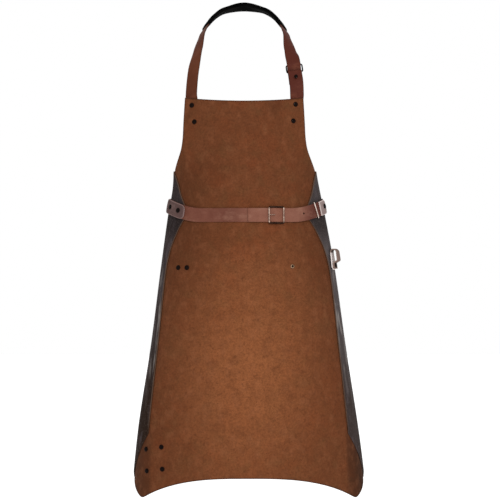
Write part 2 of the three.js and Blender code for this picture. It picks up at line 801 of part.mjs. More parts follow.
// Metal keeper round the belt: a rectangular loop standing across it
function beltKeeper() {
  const inside = STRAP_THICKNESS + 2 * KEEPER_GAP;
  const frame = flatFrame({
    along: inside + 2 * KEEPER_BAR,
    across: STRAP_WIDTH + 2 * KEEPER_GAP + 2 * KEEPER_BAR,
    bar: KEEPER_BAR,
    thick: KEEPER_BAR,
  });
  return frame.rotateY(Math.PI / 2);
}

// Side loop
const LOOP_STEP = 6;
const LOOP_BEND_STEP = 2.5;
const loopLie = SHEET_GAP + SIDE_THICKNESS + SHEET_GAP + STRAP_THICKNESS / 2;

// The loop's strap stays flat across, and is nearest to the panel along its middle line
function loopCarrier(along, lift, across) {
  const z = LOOP_TOP - along;
  const front = formPoint(LOOP_PLACE - STRAP_WIDTH / 2, z, lift);
  const back = formPoint(LOOP_PLACE + STRAP_WIDTH / 2, z, lift);
  const towardsBack = back.sub(front).normalize();
  return formPoint(LOOP_PLACE, z, lift).addScaledVector(towardsBack, across);
}

function sideLoop() {
  const radius = (LOOP_REACH - STRAP_THICKNESS) / 2;
  const fold = LOOP_REACH / 2;
  const outer = loopLie + 2 * radius;
  const together = loopLie + overBelt;
  const tipEnd = { along: LOOP_TIP - LOOP_TIP_LENGTH, lift: loopLie };
  const bendFrom = { along: LOOP_BEND_FROM, lift: outer };
  const bendTo = { along: LOOP_BEND_TO, lift: together };
  const path = [
    ...eased([{ along: LOOP_TIP, lift: loopLie }, tipEnd], LOOP_TIP_LENGTH / 4).slice(0, -1),
    ...eased([tipEnd, { along: fold + TURN_LEAD, lift: loopLie }], LOOP_STEP),
    ...halfTurn(fold, loopLie + radius, radius),
    ...eased([{ along: fold + TURN_LEAD, lift: outer }, bendFrom], LOOP_STEP).slice(0, -1),
    ...eased([bendFrom, bendTo], LOOP_BEND_STEP).slice(0, -1),
    ...eased([bendTo, { along: LOOP_END, lift: together }], LOOP_STEP),
  ];
  return strip(loopCarrier, path, roundedFirst(LOOP_TIP_LENGTH, LOOP_TIP_WIDTH));
}

// Rivets: a low dome in front, a shank, and a flat cap behind
function rivetShape(top, under) {
  const profile = [
    [0, under - BACK_HEIGHT],
    [BACK_RADIUS, under - BACK_HEIGHT],
    [BACK_RADIUS, under],
    [SHANK_RADIUS, under],
    [SHANK_RADIUS, top],
    [CAP_RADIUS, top],
    [CAP_SHOULDER.radius, top + CAP_SHOULDER.height],
    [0, top + CAP_HEIGHT],
  ].map(([radius, height]) => new THREE.Vector2(radius, height));
  return new THREE.LatheGeometry(profile, ROUND_SIDES).rotateX(Math.PI / 2);
}

function studShape() {
  const { outer, edge, inner, height, middle } = STUD;
  const under = -FRONT_THICKNESS - CAP_FIT;
  const profile = [
    [0, under - BACK_HEIGHT],
    [BACK_RADIUS, under - BACK_HEIGHT],
    [BACK_RADIUS, under],
    [SHANK_RADIUS, under],
    [SHANK_RADIUS, CAP_FIT],
    [outer, CAP_FIT],
    [outer - edge, CAP_FIT + height],
    [inner, CAP_FIT + height],
    [inner, CAP_FIT + middle],
    [0, CAP_FIT + middle],
  ].map(([radius, y]) => new THREE.Vector2(radius, y));
  return new THREE.LatheGeometry(profile, ROUND_SIDES).rotateX(Math.PI / 2);
}

const formSeat = (along, z) => seat((a, lift, up) => formPoint(a, z + up, lift), along, 0, 0);
const beltSeat = (along) => seat(beltCarrier, along, 0, 0);
const loopSeat = seat(loopCarrier, LOOP_RIVET, 0, 0);
const foldSeat = seat(neckCarrier, neckLowerBar + NECK_FOLD_RIVET, 0, 0);

const behindFront = -FRONT_THICKNESS - CAP_FIT;
const behindStrap = behindFront - NECK_ANCHOR_GAP - STRAP_THICKNESS - CAP_FIT;
const onFold = STRAP_THICKNESS / 2 + CAP_FIT;
const behindFold = -2 * foldRadius - STRAP_THICKNESS / 2 - CAP_FIT;
const onStrap = overBelt + STRAP_THICKNESS / 2 + CAP_FIT;
const onLeftTab = BELT_OVER_SIDE + onStrap;
const onRightTab = keeperLift + onStrap;
const onLoop = loopLie + onStrap;

// A row for each rivet: where it sits, the lift of its cap and of its back, and what it goes through
const RIVETS = [
  { name: 'rivet_bib_left_upper', seat: formSeat(-118, -238), top: CAP_FIT, under: behindStrap,
    through: ['front_panel', 'neck_strap_long'] },
  { name: 'rivet_bib_left_lower', seat: formSeat(-112, -275), top: CAP_FIT, under: behindStrap,
    through: ['front_panel', 'neck_strap_long'] },
  { name: 'rivet_bib_right_upper', seat: formSeat(116, -236), top: CAP_FIT, under: behindStrap,
    through: ['front_panel', 'neck_strap_short'] },
  { name: 'rivet_bib_right_lower', seat: formSeat(111, -273), top: CAP_FIT, under: behindStrap,
    through: ['front_panel', 'neck_strap_short'] },
  { name: 'rivet_neck_fold', seat: foldSeat, top: onFold, under: behindFold,
    through: ['neck_strap_short'] },
  { name: 'rivet_hip_outer', seat: formSeat(-158, -598), top: CAP_FIT, under: behindFront,
    through: ['front_panel'] },
  { name: 'rivet_hip_inner', seat: formSeat(-136, -598), top: CAP_FIT, under: behindFront,
    through: ['front_panel'] },
  { name: 'rivet_hem_front_upper', seat: formSeat(-194, -993), top: CAP_FIT, under: behindFront,
    through: ['front_panel'] },
  { name: 'rivet_hem_front_lower', seat: formSeat(-192, -1041), top: CAP_FIT, under: behindFront,
    through: ['front_panel'] },
  { name: 'rivet_hem_side_upper', seat: formSeat(-237, -1001), top: CAP_FIT, under: behindFront,
    through: ['front_panel'] },
  { name: 'rivet_hem_side_lower', seat: formSeat(-233, -1048), top: CAP_FIT, under: behindFront,
    through: ['front_panel'] },
  { name: 'rivet_belt_left_front', seat: beltSeat(-155.5), top: onLeftTab, under: behindFront,
    through: ['belt_tab_left', 'belt_strap', 'side_panel_left', 'front_panel'] },
  { name: 'rivet_belt_left_back', seat: beltSeat(-184), top: onLeftTab, under: behindFront,
    through: ['belt_tab_left', 'belt_strap', 'side_panel_left', 'front_panel'] },
  { name: 'rivet_belt_right', seat: beltSeat(188.5), top: onRightTab, under: behindFront,
    through: ['belt_tab_right', 'belt_strap', 'side_panel_right', 'front_panel'] },
  { name: 'rivet_side_loop', seat: loopSeat, top: onLoop, under: behindFront,
    through: ['side_loop', 'side_panel_right', 'front_panel'] },
];
const STUD_SEAT = formSeat(99, -595);

function holesThrough(name) {
  const drill = (radius, place, from = -DRILL_REACH) => bar(radius, DRILL_REACH - from)
    .rotateX(Math.PI / 2)
    .translate(0, 0, (DRILL_REACH + from) / 2)
    .applyMatrix4(place);
  const holes = RIVETS.filter((row) => row.through.includes(name))
    .map((row) => drill(SHANK_RADIUS + HOLE_FIT, row.seat));
  if (name === 'front_panel') {
    holes.push(drill(SHANK_RADIUS + HOLE_FIT, STUD_SEAT));
  }
  if (name === 'belt_strap') {
    holes.push(drill(BELT_HOLE, beltSeat(BELT_HOLE_PLACE)));
    holes.push(drill(PRONG_RADIUS + HOLE_FIT, beltSeat(PRONG_PLACE), centreBarLift));
  }
  return holes;
}

// Belt prong: a thin pin from its hole in the tail to the left bar, with a foot down to the centre bar
function beltProng() {
  const reach = PRONG_PLACE - (BELT_BUCKLE_PLACE - halfBuckle + BELT_BUCKLE.bar / 2);
  const height = beltFrameLift + BELT_BUCKLE.thick / 2 + CAP_FIT + PRONG_RADIUS;
  const drop = height - centreBarLift - CENTRE_BAR / 2;
  const pin = bar(PRONG_RADIUS, reach).rotateZ(Math.PI / 2).translate(-reach / 2, 0, height);
  const foot = bar(PRONG_RADIUS, drop).rotateX(Math.PI / 2).translate(0, 0, height - drop / 2);
  return join([pin, foot]);
}

// Assembly
const apron = new THREE.Group();

function add(name, geometry, look, place) {
  const mesh = new THREE.Mesh(geometry, new THREE.MeshStandardMaterial(COLOURS[look]));
  mesh.name = name;
  if (place) {
    mesh.applyMatrix4(place);
  }
  apron.add(mesh);
}

const leather = (name, geometry, look) => add(name, cut(geometry, holesThrough(name)), look);

leather('front_panel', frontPanel(), 'front');
leather('side_panel_left', sidePanel(-1), 'side');
leather('side_panel_right', sidePanel(1), 'side');
leather('neck_strap_long', neckStrapLong(), 'strap');
leather('neck_strap_short', neckStrapShort(), 'strap');
add('neck_pad', neckPad(), 'pad');
const neckFrameSeat = seat(neckCarrier, neckBuckle, -foldRadius, NECK_BUCKLE_SHIFT);
add('neck_buckle', flatFrame(NECK_BUCKLE), 'dark', neckFrameSeat);
leather('belt_strap', beltStrap(), 'strap');
add('belt_buckle', beltBuckle(), 'bright', seat(beltCarrier, BELT_BUCKLE_PLACE, beltFrameLift, 0));
add('belt_prong', beltProng(), 'bright', beltSeat(PRONG_PLACE));
add('belt_keeper', beltKeeper(), 'bright', seat(beltCarrier, KEEPER_PLACE, keeperLift, 0));
leather('belt_tab_left', beltTabLeft(), 'strap');
leather('belt_tab_right', beltTabRight(), 'strap');
leather('side_loop', sideLoop(), 'strap');
for (const row of RIVETS) {
  add(row.name, rivetShape(row.top, row.under), 'dark', row.seat);
}
add('stud_hip', studShape(), 'bright', STUD_SEAT);

export default apron;
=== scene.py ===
"""Dresses the leather bib apron: suede front, dark side panels, straps, pad and metal on the frame."""

import math
from functools import partial

import bpy
import numpy as np
from mathutils import Matrix, Vector


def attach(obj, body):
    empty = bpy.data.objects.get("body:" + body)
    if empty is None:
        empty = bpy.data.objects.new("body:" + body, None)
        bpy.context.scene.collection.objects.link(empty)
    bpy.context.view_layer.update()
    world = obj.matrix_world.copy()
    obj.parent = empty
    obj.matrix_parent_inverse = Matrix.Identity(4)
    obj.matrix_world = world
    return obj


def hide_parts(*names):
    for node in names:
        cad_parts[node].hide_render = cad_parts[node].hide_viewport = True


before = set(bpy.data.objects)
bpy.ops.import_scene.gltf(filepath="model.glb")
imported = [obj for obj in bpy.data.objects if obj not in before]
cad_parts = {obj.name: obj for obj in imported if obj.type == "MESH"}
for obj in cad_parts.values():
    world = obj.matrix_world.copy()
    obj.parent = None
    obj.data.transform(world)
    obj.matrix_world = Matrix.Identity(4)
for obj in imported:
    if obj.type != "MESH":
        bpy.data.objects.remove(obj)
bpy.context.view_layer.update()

# Sizes are in millimetres, as in the part's source; meshes are made in metres
MM = 0.001

# Leather
FRONT_THICK = 1.8
SIDE_THICK = 2.2
STRAP_WIDTH = 31
STRAP_THICK = 2.4
SHEET_GAP = 0.9

# Worn form, a row for each level: z, half breadth, front, depth, squareness, sway
FORM = np.array([
    (-195, 167, -150, 60, 2.0, 0),
    (-315, 161, -160, 74, 2.0, 0),
    (-370, 158, -163, 84, 2.1, 1),
    (-420, 163, -163, 92, 2.2, 4),
    (-475, 174, -162, 99, 2.3, 5),
    (-605, 195, -167, 112, 2.7, 8),
    (-775, 218, -173, 126, 3.1, 9),
    (-940, 244, -177, 138, 3.2, 9),
    (-1035, 256, -180, 143, 3.2, 10),
    (-1125, 265, -182, 147, 3.2, 11),
], dtype=float)
SECTION_STEPS = 80
SECTION_CHUNK = 8000

# Cut of the front panel: z, half the flat width
FRONT_CUT = np.array([
    (-221, 135), (-274, 140), (-314, 144), (-340, 152), (-366, 171), (-381, 189),
    (-396, 210), (-415, 234), (-437, 252), (-475, 264), (-1060, 378),
], dtype=float)
BIB_TOP = -221
BIB_DIP = 9
BIB_EDGE = 135
HEM_MIDDLE = -1059
HEM_DROP = 53
HEM_TIP = 252
HEM_RISE = 0.6
HEM_TIP_ROUND = 9
HEM_EDGE = 378

# Cut of a side panel: z, its front edge
SIDE_CUT = np.array([
    (-383, 188), (-400, 171), (-434, 155), (-478, 138), (-515, 159), (-560, 183),
    (-610, 197), (-760, 211), (-966, 230),
], dtype=float)
SIDE_SLANT = 1.25
SIDE_INSET = 2
SIDE_BACK_TOP = (-475, 264)
SIDE_LIE = 0.15
SIDE_SKIVE = 14
SIDE_SKIVED = 1.2
ARMHOLE_STEPS = 2000

# Grids of the sheets: steps, and the inset of one more step at each end
FRONT_DOWN = (170, 0.0012)
FRONT_ACROSS = (150, 0.002)
SIDE_DOWN = (160, 0.0015)
SIDE_ACROSS = (70, 0.006)

# Rim of a sheet: how far it bulges, as a share of the thickness
RIM_BULGE = 0.35

# Section of a strap: shares of its thickness, and points across its face and round an edge
EDGE_ROUND = 0.42
FACE_CROWN = 0.12
FACE_POINTS = 13
EDGE_POINTS = 7
STRAP_STEP = 2.5
END_STEP = 1
TURN_LEAD = 1

# Neck strap from the left shoulder to the right: x, y, z, turn of its face in degrees
NECK_ROUTE = [
    (-117.5, -125, -211, 34),
    (-113, -114, -157, 36),
    (-104, -93, -109, 51),
    (-95, -69, -69, 68),
    (-87, -55, -51, 76),
    (-71.5, -37, -28, 86),
    (-47, -17, -8, 92),
    (0, 1.4, 4.5, 107),
    (47, -17, -8, 92),
    (71.5, -37, -28, 86),
    (87, -55, -51, 76),
    (95, -69, -69, 64),
    (103, -93, -109, 34),
    (109, -106, -133, 4),
    (112.5, -113.5, -157, 2),
    (116, -121, -181, 2),
    (117.5, -126, -211, 8),
]
NECK_ANCHOR = 121
NECK_ANCHOR_LEVELS = (-232, -268, -300)
NECK_ANCHOR_GAP = 1.6
NECK_BUCKLE_LEVEL = -152
NECK_BUCKLE_SIDE = 50
NECK_BUCKLE_ALONG = 21
NECK_BUCKLE_ACROSS = 38.6
NECK_BUCKLE_BAR = 3
NECK_BUCKLE_THICK = 2.2
NECK_BUCKLE_CORNER = 4
NECK_BUCKLE_SHIFT = -0.5
NECK_BAR_FIT = 0.8
NECK_FOLD_END = 24
NECK_FOLD_RIVET = 15.5
NECK_TAIL = 26
NECK_TAIL_DROP = 2.5
FOLD_RADIUS = NECK_BUCKLE_BAR / 2 + NECK_BAR_FIT + STRAP_THICK / 2

# Neck pad: its reach to each side, its size, its soft ends, and its ribs and creases
PAD_LEFT = 124
PAD_RIGHT = 126
PAD_WIDTH = 36
PAD_THICK = 9.5
PAD_END_SHARE = 0.9
PAD_END_LENGTH = 12
PAD_STATIONS = 160
PAD_SIDES = 56
PAD_SQUARENESS = 0.55
PAD_SOFT_END = 5
PAD_SOFT_SHARE = 0.5
PAD_RIB_TURN = 0.62
PAD_RIB_SWAY = 0.9
PAD_RIB_LENGTH = 31
PAD_RIB_HEIGHT = 0.45
PAD_CREASE_LENGTH = 7.5
PAD_CREASE_SLANT = 6
PAD_CREASE_HEIGHT = 0.18

# Belt: its level in front, its rise to the back between two distances from the centre line, and its
# hole's place and radius
BELT_LEVEL = -482
BELT_RISE = 24
BELT_RISE_FROM = 100
BELT_RISE_TO = 225
BELT_END = 5
BELT_TAIL = 62
BELT_GAP = 0.8
BELT_LIE = STRAP_THICK / 2 + BELT_GAP
BELT_OVER_SIDE = BELT_LIE + SIDE_THICK + SHEET_GAP
BELT_ON_BELT_GAP = 0.5
BELT_HOLE = (127, 2)
CENTRE_BAR_GAP = 0.4
FRAME_GAP = 0.6
BUCKLE_PLACE = 65
BUCKLE_ALONG = 36
BUCKLE_ACROSS = 39
BUCKLE_BAR = 3.4
BUCKLE_THICK = 2.4
BUCKLE_CORNER = 2.5
CENTRE_BAR = 2.2
PRONG_RADIUS = 0.8
PRONG_SHIFT = 3.5
PRONG_PLACE = BUCKLE_PLACE - PRONG_SHIFT
CLIMB_FROM = 40
CLIMB_TO = 10
BUCKLE_CLIMB_FROM = 10
BUCKLE_CLIMB_TO = 3
KEPT_FROM = 151
KEPT_TO = 190
KEEPER_PLACE = 159
KEEPER_BAR = 2.6
KEEPER_GAP = 0.6
KEEPER_CORNER = 1.6
KEEPER_LIFT = BELT_OVER_SIDE + KEEPER_BAR + KEEPER_GAP
CENTRE_LIFT = BELT_LIE + STRAP_THICK / 2 + CENTRE_BAR_GAP + CENTRE_BAR / 2
OVER_CENTRE = CENTRE_LIFT + CENTRE_BAR / 2 + CENTRE_BAR_GAP + STRAP_THICK / 2
OVER_STRAP = BELT_LIE + STRAP_THICK + BELT_ON_BELT_GAP
FRAME_LIFT = OVER_STRAP + STRAP_THICK / 2 + FRAME_GAP + BUCKLE_THICK / 2
HALF_BUCKLE = BUCKLE_ALONG / 2

# Faces of the belt buckle that look out by at least this share are the bright ones; the others, and the
# upper and lower bars, take a darker metal as painted shade
FRAME_FACE = 0.6

# Tabs over the belt; a rounded end is its stretch and its share of the full width
TAB_LEFT_FRONT = 139.5
TAB_RIGHT_FRONT = 172
TAB_BACK = 215
TAB_GAP = 0.6
TAB_LEFT_ROUND = (11, 0.45)
TAB_RIGHT_BACK = 205
TAB_RIGHT_ROUND = (16, 0.1)
OVER_BELT = STRAP_THICK + TAB_GAP

# Side loop: its middle line's distance from the centre line, its top, and distances down from there
LOOP_PLACE = 214
LOOP_TOP = -556
LOOP_REACH = 15.4
LOOP_BEND_FROM = 25
LOOP_BEND_TO = 32.5
LOOP_RIVET = 39
LOOP_END = 45
LOOP_TIP = 47
LOOP_TIP_ROUND = (9, 0.3)
LOOP_LIE = 2 * SHEET_GAP + SIDE_THICK + STRAP_THICK / 2

# Bars, rods and turned pieces: rounding as a share of a bar's or rod's size, and steps
BAR_ROUND = 0.4
BAR_STEPS = 4
CORNER_STEPS = 8
ROD_DOME = 0.6
ROD_DOME_STEPS = 5
DRILL_REACH = 30
SEAT_STEP = 2.0

# Rivets and the hip stud
CAP_RADIUS = 5.4
CAP_HEIGHT = 2.2
CAP_WALL = 0.25
CAP_BEVEL_IN = 0.2
CAP_BEVEL_UP = 0.15
CAP_STEPS = 8
CAP_FIT = 0.6
SHANK_RADIUS = 1.8
BACK_RADIUS = 4.2
BACK_HEIGHT = 1.2
BACK_BEVEL = 0.3
BEHIND_FRONT = -FRONT_THICK - CAP_FIT
BEHIND_STRAP = BEHIND_FRONT - NECK_ANCHOR_GAP - STRAP_THICK - CAP_FIT
BEHIND_FOLD = -2 * FOLD_RADIUS - STRAP_THICK / 2 - CAP_FIT
ON_STRAP = OVER_BELT + STRAP_THICK / 2 + CAP_FIT
STUD_OUTER = 4.6
STUD_INNER = 2
STUD_HEIGHT = 1.1
STUD_MIDDLE = 0.3
STUD_LIP_STEPS = 13
STUD_DARK_REACH = 1.05
STUD_PLACE = (99, -595)

# Places of the rivets: distance from the centre line and level, or distance and the belt's lift there
BIB_RIVETS = {
    "rivet_bib_left_upper": (-118, -238),
    "rivet_bib_left_lower": (-112, -275),
    "rivet_bib_right_upper": (116, -236),
    "rivet_bib_right_lower": (111, -273),
}
FRONT_RIVETS = {
    "rivet_hip_outer": (-158, -598),
    "rivet_hip_inner": (-136, -598),
    "rivet_hem_front_upper": (-194, -993),
    "rivet_hem_front_lower": (-192, -1041),
    "rivet_hem_side_upper": (-237, -1001),
    "rivet_hem_side_lower": (-233, -1048),
}
BELT_RIVETS = {
    "rivet_belt_left_front": (-155.5, BELT_OVER_SIDE),
    "rivet_belt_left_back": (-184, BELT_OVER_SIDE),
    "rivet_belt_right": (188.5, KEEPER_LIFT),
}

# Camera, from the photograph: the image plane's scale at the front of the apron
IMAGE_SIZE = 500
MM_PER_PIXEL = 2.2
CAMERA_DISTANCE = 3000
CAMERA_PLACE = (13, -3160, -559)
SENSOR = 36

# Light, in metres and watts, and floor
LIGHT_PLACE = (0.5, -2.5, 0.35)
LIGHT_TARGET = (0, -0.15, -0.65)
LIGHT_SIZE = 0.3
LIGHT_POWER = 26
WHITE = (1, 1, 1, 1)
FLOOR_REACH = 9000
FLOOR_LEVEL = -1500
FLOOR_GLOW = 0.3


def lerp(a, b, t):
    return a + (b - a) * t


def smoothstep(t):
    t = np.clip(t, 0, 1)
    return t * t * (3 - 2 * t)


def hermite(t, start, start_slope, end, end_slope):
    """Cubic from start to end, with slopes for t from 0 to 1."""
    t2 = t * t
    t3 = t2 * t
    return ((2 * t3 - 3 * t2 + 1) * start + (t3 - 2 * t2 + t) * start_slope
            + (3 * t2 - 2 * t3) * end + (t3 - t2) * end_slope)


def unit(vectors):
    return vectors / np.linalg.norm(vectors, axis=-1, keepdims=True)


def as_grids(*values):
    """Numbers and arrays brought to one shape."""
    return np.broadcast_arrays(*(np.asarray(value, dtype=float) for value in values))


def distances_along(points):
    """Distance of each point from the first, along the line through them."""
    return np.concatenate([[0], np.cumsum(np.linalg.norm(np.diff(points, axis=0), axis=1))])


# The worn form

def column_at(table, column, z):
    """Smooth value of a table's column at z; the first column holds levels that go down."""
    levels, values = table[:, 0], table[:, column]
    z = np.asarray(z, dtype=float)
    last = len(levels) - 1
    row = np.clip(np.searchsorted(-levels, -z, side="right") - 1, 0, last - 1)
    before = np.maximum(row - 1, 0)
    after = np.minimum(row + 2, last)
    step = levels[row + 1] - levels[row]
    slope_here = (values[row + 1] - values[before]) / (levels[row + 1] - levels[before])
    slope_next = (values[after] - values[row]) / (levels[after] - levels[row])
    t = np.clip((z - levels[row]) / step, 0, 1)
    return hermite(t, values[row], slope_here * step, values[row + 1], slope_next * step)


def sections(z):
    """Level values and the half sections, front to back, at each z."""
    half, front, depth, square, sway = (column_at(FORM, i, z)[:, None] for i in range(1, 6))
    ahead = np.arange(SECTION_STEPS + 1) / SECTION_STEPS
    t = np.concatenate([ahead, ahead[-2::-1]])[None, :]
    sign = np.concatenate([-np.ones(SECTION_STEPS + 1), np.ones(SECTION_STEPS)])[None, :]
    even = square / 2
    angle = (math.pi / 2) * t ** even / (t ** even + (1 - t) ** even)
    x = half * np.sin(angle) ** (2 / square)
    reach = np.abs(np.cos(angle)) ** (2 / square)
    y = front + depth * (1 + sign * reach)
    run = np.hypot(np.diff(x, axis=1), np.diff(y, axis=1))
    distance = np.concatenate([np.zeros((len(x), 1)), np.cumsum(run, axis=1)], axis=1)
    return half, front, depth, square, sway, x, y, distance


def half_round(z):
    """Length of the half section at each z."""
    return sections(np.atleast_1d(z))[-1][:, -1]


def picked(table, index):
    return np.take_along_axis(table, index, axis=1)


def form_points(along, z, lift):
    """Points at flat distances from the centre line, at levels z, lifted off the form."""
    along, z, lift = as_grids(along, z, lift)
    shape = along.shape
    along, z, lift = along.ravel(), z.ravel(), lift.ravel()
    points = np.empty((len(along), 3))
    for start in range(0, len(along), SECTION_CHUNK):
        part = slice(start, start + SECTION_CHUNK)
        half, front, depth, square, sway, xs, ys, distances = sections(z[part])
        wanted = np.abs(along[part])[:, None]
        low = np.clip((distances <= wanted).sum(axis=1) - 1, 0, distances.shape[1] - 2)[:, None]
        nearest = picked(distances, low)
        t = (wanted - nearest) / (picked(distances, low + 1) - nearest)
        x = lerp(picked(xs, low), picked(xs, low + 1), t)
        y = lerp(picked(ys, low), picked(ys, low + 1), t)
        across = np.clip(x / half, 0, 1)
        deep = (front + depth - y) / depth
        out_x = across ** (square - 1) / half
        out_y = -np.sign(deep) * np.abs(deep) ** (square - 1) / depth
        side = np.where(along[part] < 0, -1, 1)[:, None]
        off = lift[part][:, None] / np.hypot(out_x, out_y)
        points[part, 0] = (sway + side * (x + out_x * off))[:, 0]
        points[part, 1] = (y + out_y * off)[:, 0]
        points[part, 2] = z[part]
    return points.reshape(*shape, 3)


# Meshes

def add_mesh(name, points, faces, smooth=True):
    """New object from points in millimetres."""
    mesh = bpy.data.meshes.new(name)
    mesh.from_pydata((np.asarray(points).reshape(-1, 3) * MM).tolist(), [], faces)
    mesh.validate()
    mesh.polygons.foreach_set("use_smooth", [smooth] * len(mesh.polygons))
    piece = bpy.data.objects.new(name, mesh)
    bpy.context.scene.collection.objects.link(piece)
    return piece


def face_out(piece):
    """Turns the faces of a closed mesh outwards."""
    mesh = piece.data
    mesh.calc_loop_triangles()
    corners = np.empty(len(mesh.loop_triangles) * 3, dtype=np.int32)
    mesh.loop_triangles.foreach_get("vertices", corners)
    places = np.empty(len(mesh.vertices) * 3)
    mesh.vertices.foreach_get("co", places)
    a, b, c = np.moveaxis(places.reshape(-1, 3)[corners.reshape(-1, 3)], 1, 0)
    if np.einsum("ij,ij->i", a, np.cross(b, c)).sum() < 0:
        mesh.flip_normals()


def set_attribute(piece, name, values):
    attribute = piece.data.attributes.new(name, "FLOAT", "POINT")
    attribute.data.foreach_set("value", np.asarray(values, dtype=np.float32).ravel())


def sheet(name, outer, inner, rim_mm, along_mm):
    """Closed sheet between two grids with a rounded rim.

    The rim takes the second material, and the attribute along stays 0 on the inner face.
    """
    rows, columns = outer.shape[:2]
    count = rows * columns
    index = np.arange(count).reshape(rows, columns)
    a, b = index[:-1, :-1].ravel(), index[:-1, 1:].ravel()
    c, d = index[1:, 1:].ravel(), index[1:, :-1].ravel()
    front = np.stack([a, d, c, b], axis=1)
    back = np.stack([a, b, c, d], axis=1) + count
    loop = np.concatenate([index[0, :-1], index[:-1, -1], index[-1, :0:-1], index[:0:-1, 0]])
    inside = np.concatenate([index[1, :-1], index[:-1, -2], index[-2, :0:-1], index[:0:-1, 1]])
    outer_flat, inner_flat = outer.reshape(-1, 3), inner.reshape(-1, 3)
    thickness = np.linalg.norm(outer_flat[loop] - inner_flat[loop], axis=1, keepdims=True)
    away = unit(outer_flat[loop] - outer_flat[inside])
    middle = (outer_flat[loop] + inner_flat[loop]) / 2 + away * thickness * RIM_BULGE
    rim = 2 * count + np.arange(len(loop))
    after = np.roll(np.arange(len(loop)), -1)
    first = np.stack([loop, loop[after], rim[after], rim], axis=1)
    second = np.stack([rim, rim[after], loop[after] + count, loop + count], axis=1)
    faces = np.concatenate([front, back, first, second])
    piece = add_mesh(name, np.concatenate([outer_flat, inner_flat, middle]), faces.tolist())
    slots = np.zeros(len(faces), dtype=np.int32)
    slots[len(front) + len(back):] = 1
    piece.data.polygons.foreach_set("material_index", slots)
    set_attribute(piece, "rim", np.concatenate([rim_mm.ravel(), rim_mm.ravel(), np.zeros(len(loop))]))
    along = along_mm.ravel()
    set_attribute(piece, "along", np.concatenate([along, np.zeros_like(along), along[loop]]))
    face_out(piece)
    return piece


def loft(name, rings, closed=False):
    """Surface through rings of points, with flat capped ends or joined into a loop."""
    rings = np.asarray(rings)
    rows, columns = rings.shape[:2]
    index = np.arange(rows * columns).reshape(rows, columns)
    ahead = np.roll(index, -1, axis=0) if closed else index[1:]
    here = index if closed else index[:-1]
    faces = np.stack([here, np.roll(here, -1, axis=1), np.roll(ahead, -1, axis=1), ahead], axis=-1)
    faces = faces.reshape(-1, 4).tolist()
    if not closed:
        faces += [index[0, ::-1].tolist(), index[-1].tolist()]
    piece = add_mesh(name, rings, faces)
    if not closed:
        for cap in piece.data.polygons[-2:]:
            cap.use_smooth = False
    face_out(piece)
    return piece


# Straps

def eased(rows, step):
    """Points (along, lift) at even steps between rows, easing from one lift to the next."""
    points = []
    for (along, lift), (next_along, next_lift) in zip(rows, rows[1:]):
        count = max(1, math.ceil(abs(next_along - along) / step))
        t = np.arange(count) / count
        points.append(np.stack([lerp(along, next_along, t), lerp(lift, next_lift, smoothstep(t))], axis=1))
    points.append(np.array([rows[-1]], dtype=float))
    return np.concatenate(points)


def half_turn(along, lift, radius, steps=24):
    angle = np.pi * np.arange(steps + 1) / steps
    return np.stack([along - radius * np.sin(angle), lift - radius * np.cos(angle)], axis=1)


def strap_section(width, thickness):
    """Closed section of a strap: (across, out) with rounded edges and a slightly crowned face."""
    radius = EDGE_ROUND * thickness
    crown = FACE_CROWN * thickness
    reach = width / 2 - radius
    flat = np.linspace(-1, 1, FACE_POINTS)
    top = np.stack([flat * reach, thickness / 2 - crown * flat ** 4], axis=1)
    turn = np.linspace(math.pi / 2, -math.pi / 2, EDGE_POINTS)[1:-1]
    edge = np.stack([reach + radius * np.cos(turn), (thickness / 2 - crown) * np.sin(turn)], axis=1)
    back = flat[::-2]
    under = np.stack([back * reach, np.full(len(back), -thickness / 2)], axis=1)
    other = edge[::-1] * (-1, 1)
    return np.concatenate([top, edge, under, other])


def rounded(distance, stretch, end_share):
    """Share of the full width near an end rounded over a stretch."""
    short = 1 - np.clip(distance / stretch, 0, 1)
    return lerp(end_share, 1, np.sqrt(1 - short * short))


def strap(name, node, leather, carrier, path, first_round=None, last_round=None, hole=None):
    """Strap along a path of (along, lift) points on a carrier, with square or rounded ends."""
    distance = distances_along(path)
    rest = distance[-1] - distance
    ahead = unit(np.gradient(path, axis=0))
    out = np.stack([-ahead[:, 1], ahead[:, 0]], axis=1)
    if path[-1, 0] < path[0, 0]:
        out = -out
    section = strap_section(STRAP_WIDTH, STRAP_THICK)
    along = path[:, :1] + out[:, :1] * section[None, :, 1]
    lift = path[:, 1:] + out[:, 1:] * section[None, :, 1]
    widths = np.ones((len(path), 1))
    for run, end in ((distance, first_round), (rest, last_round)):
        if end:
            widths *= rounded(run, *end)[:, None]
    across = section[None, :, 0] * widths
    piece = loft(name, carrier(along, lift, across))
    rim = STRAP_WIDTH / 2 * widths - np.abs(across)
    if first_round or last_round:
        rim = np.minimum(rim, np.minimum(distance, rest)[:, None])
    set_attribute(piece, "rim", rim)
    set_attribute(piece, "run", np.broadcast_to(distance[:, None], along.shape))
    if hole:
        place, radius = hole
        drill(piece, seat(carrier, place), radius)
    finish_piece(piece, node, "strap_leather", leather)


# Neck strap route

def neck_anchors(side):
    """Rows of the route behind a bib corner, from the top down."""
    lift = -(FRONT_THICK + NECK_ANCHOR_GAP + STRAP_THICK / 2)
    rows = []
    for z in NECK_ANCHOR_LEVELS:
        point = form_points(side * NECK_ANCHOR, z, lift)
        out = form_points(side * NECK_ANCHOR, z, lift + 1) - point
        rows.append((point[0], point[1], z, math.degrees(math.atan2(side * out[0], -out[1]))))
    return rows


